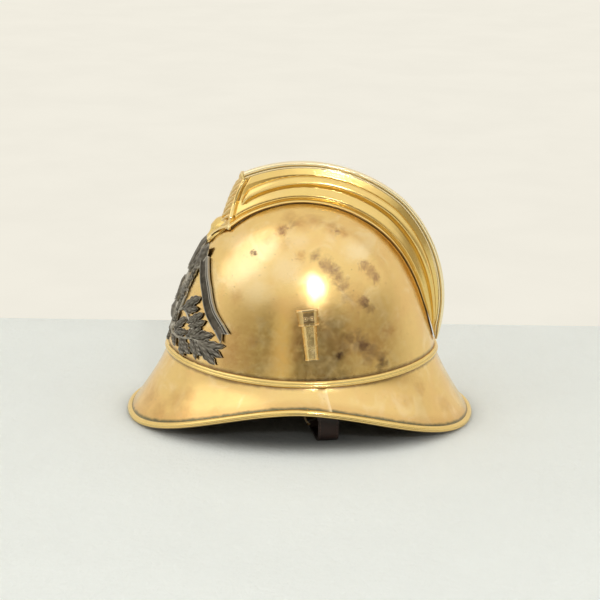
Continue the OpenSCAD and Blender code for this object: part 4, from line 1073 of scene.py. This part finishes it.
band_outline = ((6.2, 0.4), (10, 0), (15, 0), (20, 0), (26, 0), (31.4, 0.1), (32, 0.6), (32, 1.4),
                (31.4, 1.9), (26, 2), (20, 2), (15, 2), (10, 2), (9.2, 2.1), (9, 2.7), (8.4, 2.9),
                (6.8, 2.9), (6.1, 2.5), (6.0, 1.2))
scallop = 0.35 * sind(skull_t * 24)
piece("liner_band_skin", sweep((band_wall(skull_t, z, d + (scallop if z > 31 else 0))
                                for z, d in band_outline), True),
      "liner_leather", nodes=["liner_band"])
hem = band_wall(np.linspace(0, 360, 721), 7.6, 2.95)
piece("liner_hem_threads", join_data(threads(hem, inward(hem), 5.0)), "lace")

# %% Liner tongues
TONGUES, TONGUE_D, CROWN_Z, CROWN_R = 8, 6.0, 172.0, 22.0
TONGUE_STEP = 360 / TONGUES


def tongue_point(a, v, t):
    """Angle a, share v of the way to the crown and depth t into the leather. Below 0,
    v runs down behind the band."""
    lean = LEAN * np.interp(v, (-1, 0), (0.62, 1))
    low = base_point(a, -TONGUE_D - t - lean, np.interp(v, (-1, 0), (LINER_H - 8, LINER_H)))
    turn = 90 * np.maximum(v, 0)
    top = np.stack([cosd(a) * (CROWN_R - 4), SKULL_Y + sind(a) * (CROWN_R - 4)], -1)
    flat = top + (low[..., :2] - top) * cosd(turn)[..., None]
    z = low[..., 2] + (CROWN_Z - t * sind(turn) - low[..., 2]) * sind(turn)
    return np.concatenate([flat, z[..., None]], -1)


tongue_v, tongue_q = grid(np.concatenate([[-1, -0.96, -0.9, -0.5, 0], np.linspace(0.04, 0.93, 46)]),
                          np.linspace(-1, 1, 21))
tip_round = np.sqrt(np.maximum(0.03, 1 - np.clip((tongue_v - 0.80) / 0.132, 0, 1) ** 2))
tongue_half = TONGUE_STEP / 2 * (0.9 - 0.28 * sind(90 * np.maximum(tongue_v, 0))) * tip_round
thin = 0.8 * (1 - np.sqrt(1 - 0.95 * np.abs(tongue_q) ** 10))
tongues, tongue_threads = [], []
for k in range(TONGUES):
    middle = TONGUE_STEP * (k + 0.5)
    pucker = 0.22 * np.sin(tongue_v * 9 + k) * np.sin(tongue_q * 5 + 2 * k)
    tongues.append(sheet_data(*(tongue_point(middle + tongue_half * tongue_q, tongue_v, t + pucker)
                                for t in (thin, 2 - thin))))
    across = middle + np.linspace(-0.86, 0.86, 20) * TONGUE_STEP / 2 * 0.9
    line = tongue_point(across, np.full(20, -0.45), 2.05)
    tongue_threads += threads(line, inward(line, 0.3), 4.2)
piece("liner_tongues_skin", join_data(tongues), "liner_leather",
      nodes=["liner_tongues"])
piece("liner_tongue_threads", join_data(tongue_threads), "lace")

# %% Lace of three strands, with its knot
LACE_RING, LACE_Z = CROWN_R + 3, CROWN_Z + 1.4
LACE_TURNS, TWIST_R, STRAND_R, KNOT_R = 30, 0.52, 0.56, 0.8
round_t = np.arange(360.0)[:, None]
radial = cosd(round_t) * (1, 0, 0) + sind(round_t) * (0, 1, 0)
lace = []
for strand in range(3):
    phase = LACE_TURNS * round_t + 120 * strand
    centre = (0, SKULL_Y, LACE_Z) + radial * (LACE_RING + TWIST_R * cosd(phase))
    centre = centre + UP * TWIST_R * sind(phase)
    lace.append(round_tube(centre, radial * STRAND_R, UP * STRAND_R, range(0, 360, 60), True))
a = np.arange(0, 360, 5.0)
knot = np.stack([sind(a) + 2 * sind(2 * a), cosd(a) - 2 * cosd(2 * a), -0.9 * sind(3 * a)], -1)
knot = knot * 0.95 + (0, SKULL_Y - LACE_RING, LACE_Z + 0.5)
along = unit(np.roll(knot, -1, 0) - np.roll(knot, 1, 0))
side = unit(np.cross(along, UP))
lace.append(round_tube(knot, side * KNOT_R, np.cross(side, along) * KNOT_R,
                       range(0, 360, 45), True))
piece("liner_lace_skin", join_data(lace), "lace", nodes=["liner_lace"])

# %% [markdown]
# The chin strap is two thin leathers sewn together along their edges. They part to go
# round the ring above, and on the left half also round the buckle's bar, where a slot
# lets the prong through. The right half ends in a point with five holes. Each half is
# drawn on the left in its own plane: x outwards, y across and z up.

# %% Frame and line of a strap
STRAP_A = math.degrees(math.asin(28 / SKULL_A))
STRAP_YAW = math.degrees(math.atan2(sind(STRAP_A) / SKULL_A, cosd(STRAP_A) / SKULL_B))
HALF_W, PLY, BEND_R, SLOT_HALF = 10.0, 1.1, 8.0, 2.0
KNUCKLE_X, EYE_Z, EYE_IN, BAR_IN = -3.0, -14.0, 1.5, 1.5
LEFT_RUN, RIGHT_RUN, TIP_PART = 34.0, 88.0, 52.0
GROUND = 0.4 - float(base_at(STRAP_A))
TURN_X, TURN_Z = KNUCKLE_X - 1.1 - BEND_R, GROUND + 2.2 + BEND_R
BAR_X, TIP_X = TURN_X - LEFT_RUN, TURN_X - RIGHT_RUN
strap_out = np.array([cosd(STRAP_YAW), sind(STRAP_YAW), 0])
strap_place = placer(base_point(STRAP_A, 0, 0) - strap_out * (LAYER_D + 1.9), strap_out,
                     np.array([-sind(STRAP_YAW), cosd(STRAP_YAW), 0]), UP)


def loop_line(d, run):
    """Line of a leather, a distance d outwards from the seam between the two: round the
    ring, down, round the bend and along to the end of the run."""
    return np.array([*roll(KNUCKLE_X, EYE_Z, EYE_IN + PLY / 2, 90, -35 if d > 0 else 215, 10),
                     (KNUCKLE_X + d, EYE_Z - 4.6), (KNUCKLE_X + d, (EYE_Z + TURN_Z) / 2),
                     *roll(TURN_X, TURN_Z, BEND_R + 1.1 + d, 0, -90, 14),
                     *((TURN_X - run * k, GROUND + 1.1 - d) for k in (0.25, 0.5, 0.75, 1))])


def line_normal(line):
    return unit(np.stack([-np.gradient(line[:, 1]), np.gradient(line[:, 0])], -1))


def strip_data(line, y0, y1):
    """One leather along a line, between two places across."""
    dense = [line[0]]
    for a, b in zip(line[:-1], line[1:]):
        n = max(1, int(np.hypot(*(b - a)) / 3))
        dense += [a + (b - a) * k / n for k in range(1, n + 1)]
    x, z = np.array(dense).T
    nx, nz = line_normal(np.array(dense)).T
    h, middle = PLY / 2, (y0 + y1) / 2
    section = ((y0, 0), (y0 + 0.15, h * 0.7), (y0 + 0.6, h), (y0 + 3, h), (middle, h),
               (y1 - 0.6, h), (y1 - 0.15, h * 0.7), (y1, 0), (y1 - 0.15, -h * 0.7),
               (y1 - 0.6, -h), (middle, -h), (y0 + 0.6, -h), (y0 + 0.15, -h * 0.7))
    return sweep(strap_place(x + nx * d, y, z + nz * d) for y, d in section)


def edge_threads(run):
    """Stitches along both edges and below the ring, on the outer face of a strap."""
    line = loop_line(PLY, run)[10:]
    start = line[0] + (line[1] - line[0]) * np.arange(6)[:, None] / 6
    line = np.concatenate([start, line[1:]])
    n = line_normal(line)
    made = threads(strap_place(KNUCKLE_X + PLY, np.linspace(-8, 8, 12), EYE_Z - 5.2),
                   np.tile(strap_out, (12, 1)), 3.2)
    for y in (1.9 - HALF_W, HALF_W - 1.9):
        made += threads(strap_place(line[:, 0], y, line[:, 1]),
                        strap_out * n[:, :1] + UP * n[:, 1:], 3.6)
    return made


# %% Left half of the strap
slot_x = BAR_X + 7
left_parts = []
for d in (PLY / 2, -PLY / 2):
    whole = loop_line(d, LEFT_RUN)
    body = [p for p in whole if p[0] > slot_x or p[1] > GROUND + 4]
    left_parts.append(strip_data(np.array([*body, (slot_x, whole[-1][1])]), -HALF_W, HALF_W))
eye_line = np.array([
    (slot_x, GROUND + PLY / 2), (BAR_X + 3, GROUND + PLY / 2),
    *roll(BAR_X, GROUND + 2.2 + BAR_IN, BAR_IN + PLY * 1.45, -90, -300, 22),
    (BAR_X + 3.4, GROUND + 2.75), (BAR_X + 4.6, GROUND + PLY * 1.55), (slot_x, GROUND + PLY * 1.5)])
left_parts += [strip_data(eye_line, *ends) for ends in ((-HALF_W, -SLOT_HALF), (SLOT_HALF, HALF_W))]
piece("chin_strap_left_skin", join_data(left_parts), "leather", "strap_left",
      ["chin_strap_left"])
piece("chin_strap_left_threads", join_data(edge_threads(LEFT_RUN - 9)), "thread",
      "strap_left")

# %% Right half of the strap, with its holes and its point
HOLE_R, HOLE_GAP, HOLES, BEVEL = 1.72, 9, 5, 0.25
curve = bpy.data.curves.new("strap_tip_outline", "CURVE")
curve.dimensions, curve.fill_mode = "2D", "BOTH"
curve.extrude, curve.bevel_depth, curve.bevel_resolution = 0.85 * MM, BEVEL * MM, 2
tip_half = HALF_W - BEVEL
tip = [(TIP_X + TIP_PART, -tip_half), (TIP_X + TIP_PART, tip_half), (TIP_X, tip_half)]
tip += [(TIP_X - 7 * math.sin(a) ** 1.2 - 2.7 * math.sin(a) ** 6, tip_half * math.cos(a))
        for a in np.linspace(0.12, math.pi - 0.12, 21)]
holes = [[(TIP_X + 6 + HOLE_GAP * k + HOLE_R * cosd(b), HOLE_R * sind(b))
          for b in range(0, 360, 15)] for k in range(HOLES)]
for shape in [tip + [(TIP_X, -tip_half)], *holes]:
    spline = curve.splines.new("POLY")
    spline.points.add(len(shape) - 1)
    spline.use_cyclic_u = True
    for point, (x, y) in zip(spline.points, shape):
        point.co = (x * MM, y * MM, 0, 1)
tip_object = bpy.data.objects.new("strap_tip_outline", curve)
tip_mesh = bpy.data.meshes.new_from_object(tip_object)
x, y, z = np.array([v.co for v in tip_mesh.vertices]).T / MM
right_parts = [strip_data(loop_line(d, RIGHT_RUN - TIP_PART), -HALF_W, HALF_W)
               for d in (PLY / 2, -PLY / 2)]
right_parts.append((strap_place(x, y, GROUND + 1.1 + z),
                    [list(p.vertices) for p in tip_mesh.polygons]))
bpy.data.objects.remove(tip_object)
piece("chin_strap_right_skin", mirrored(join_data(right_parts)), "leather",
      "strap_right", ["chin_strap_right"])
piece("chin_strap_right_threads", mirrored(join_data(edge_threads(RIGHT_RUN - 4))), "thread",
      "strap_right")

# %% Keeper, a loop sewn end to end
KEEPER_H, KEEPER_T, PLAY, CORNER_R = 7.0, 1.4, 0.3, 0.9
keeper_z = (EYE_Z - EYE_IN - 2.2 + TURN_Z) / 2
half_x, half_y = (size + PLAY + KEEPER_T / 2 for size in (PLY, HALF_W))
ring_xy = np.concatenate([
    roll(sx * (half_x - CORNER_R), sy * (half_y - CORNER_R), CORNER_R, a, a + 90, 6)
    for sx, sy, a in ((1, 1, 0), (-1, 1, 90), (-1, -1, 180), (1, -1, 270))])
ring_along = np.roll(ring_xy, -1, 0) - np.roll(ring_xy, 1, 0)
x, y = ring_xy.T
nx, ny = unit(ring_along[:, ::-1] * (1, -1)).T
h, half_t = KEEPER_H / 2, KEEPER_T / 2
top = [(-h, 0), (0.3 - h, half_t * 0.8), (0.8 - h, half_t),
       (h - 0.8, half_t), (h - 0.3, half_t * 0.8), (h, 0)]
section = top + [(z, -d) for z, d in top[-2:0:-1]]
piece("strap_keeper_skin", sweep((strap_place(KNUCKLE_X + x + nx * d, y + ny * d, keeper_z + z)
                                  for z, d in section), True),
      "leather", "keeper", ["strap_keeper"])
piece("strap_keeper_threads", join_data([
    stitch(strap_place(KNUCKLE_X + half_x + KEEPER_T / 2, y, keeper_z + z), UP, strap_out, 0.7)
    for y in (-4.6, -2.0) for z in (-2.0, 0, 2.0)]), "thread", "keeper")

# %% [markdown]
# The stage is a plaster floor and a pale wall. A polished thing is lit by what it
# mirrors, so the room matters more than the lamps: pale above and at the sides, darker
# where the camera and the rest of the studio stand. One small soft lamp gives the
# highlight on the skull. The brass mirrors the wall, but the camera looks through it at
# a plain backdrop, so views from the other side stay free.

# %% Floor, wall and backdrop
WALL_X, FAR, BACK_FAR = -0.30, 6, 14
BACK_TONE = (0.87, 0.835, 0.735)


def soft_tone(at, colour):
    return mix(step(noise(at, 6, 5, 0.6, 0.2), 0.3, 0.7), tuple(c * 0.975 for c in colour), colour)


def seen_by(at, *rays):
    """1 for rays of the given kinds and 0 for others."""
    total = put(at, "LightPath", output=rays[0])
    for ray in rays[1:]:
        total = total + put(at, "LightPath", output=ray)
    return calc("MINIMUM", total, 1.0)


def plaster(name, colour, grain, glow, painted_shadow_below=False):
    shader, at = new_finish(name)
    tone = soft_tone(at, colour)
    seen = seen_by(at, "Is Camera Ray", "Is Glossy Ray", "Is Transmission Ray")
    if painted_shadow_below:
        # Under the helmet the floor's colour is painted dark, a painted shadow, and its glow fades
        # out there.
        flat = put(at, "VectorMath", {0: at, 1: (1 / 0.127, 1 / 0.171, 0)}, operation="MULTIPLY")
        far = put(at, "VectorMath", {0: flat}, "Value", operation="LENGTH")
        seen = seen * step(far, 0.75, 1.25)
        tone = mix(step(far, 0.72, 1.12, 0.8, 0), tone, tuple(c * 0.12 for c in colour))
    wire(shader, base_color=tone, roughness=0.95, specular_ior_level=0.1, emission_color=tone,
         emission_strength=seen * glow)
    bump(shader, noise(at, 130, 7, 0.7), grain, 0.7)


def stage_plane(name, corners, look):
    mesh = bpy.data.meshes.new(name)
    mesh.from_pydata(corners, [], [(0, 1, 2, 3)])
    mesh.materials.append(finish[look])
    made = bpy.data.objects.new(name, mesh)
    bpy.context.scene.collection.objects.link(made)
    return made


# The floor carries a painted shadow under the helmet.
plaster("floor_plaster", (0.78, 0.81, 0.79), 0.003, 0.13, True)
plaster("wall_plaster", (0.88, 0.86, 0.83), 0.002, 0.20)
shader, at = new_finish("backdrop_tone")
wire(shader, base_color=(0.02, 0.02, 0.02), roughness=1.0, specular_ior_level=0.0,
     emission_color=soft_tone(at, BACK_TONE), emission_strength=seen_by(at, "Is Camera Ray"))
stage_plane("floor", [(WALL_X, -FAR, 0), (FAR, -FAR, 0), (FAR, FAR, 0), (WALL_X, FAR, 0)],
            "floor_plaster")
wall = stage_plane("wall", [(WALL_X, -FAR, -0.01), (WALL_X, FAR, -0.01), (WALL_X, FAR, 4),
                            (WALL_X, -FAR, 4)], "wall_plaster")
wall.visible_camera = False
stage_plane("backdrop", [(-BACK_FAR, -BACK_FAR, 0), (WALL_X, -BACK_FAR, 0), (WALL_X, BACK_FAR, 0),
                         (-BACK_FAR, BACK_FAR, 0)], "backdrop_tone")

# %% Room and lamps
world = bpy.data.worlds.new("studio")
bpy.context.scene.world = world
world.use_nodes = True
room = world.node_tree
room.nodes.clear()
ahead, aside, above = parts(put(room, "TexCoord", output="Generated"))
azimuth = calc("ARCTAN2", aside, ahead) * (180 / math.pi)
horizon = step(above, 0.20, 0.42, 1, 0)
tone = mix(step(above, 0.3, 0.9), (0.90, 0.87, 0.80), (1.0, 0.99, 0.96))
for low, high, soft, share, shade in (
        (-62, 88, 24, 1, (0.42, 0.37, 0.27)), (-34, -20, 4, 0.7, (0.22, 0.20, 0.12)),
        (-18, -8, 3, 0.8, (0.85, 0.74, 0.48)), (-7, 33, 5, 0.85, (0.12, 0.10, 0.065))):
    sector = step(azimuth, low - soft, low + soft) * step(azimuth, high - soft, high + soft, 1, 0)
    tone = mix(sector * horizon * share, tone, shade)
lit = put(room, "Background", {"Color": tone, "Strength": 1.05})
plain = put(room, "Background", {"Color": BACK_TONE, "Strength": 1.0})
either = put(room, "MixShader", {0: seen_by(room, "Is Camera Ray"), 1: lit, 2: plain})
room.links.new(either.socket, room.nodes.new("ShaderNodeOutputWorld").inputs[0])


def lamp(name, turn, rise, distance, size, power, colour=(1, 1, 1)):
    data = bpy.data.lights.new(name, "AREA")
    data.shape, data.size, data.energy, data.color = "DISK", size, power, colour
    made = bpy.data.objects.new(name, data)
    bpy.context.scene.collection.objects.link(made)
    a, e = math.radians(turn), math.radians(rise)
    spot = Vector((math.cos(e) * math.cos(a), math.cos(e) * math.sin(a), math.sin(e))) * distance
    made.location = CAMERA_TARGET + spot
    made.rotation_euler = (-spot).to_track_quat("-Z", "Y").to_euler()


lamp("key_lamp", 12, 29, 2.6, 0.18, 9)
lamp("soft_left", -78, 46, 2.6, 2.4, 7, (1, 0.99, 0.97))
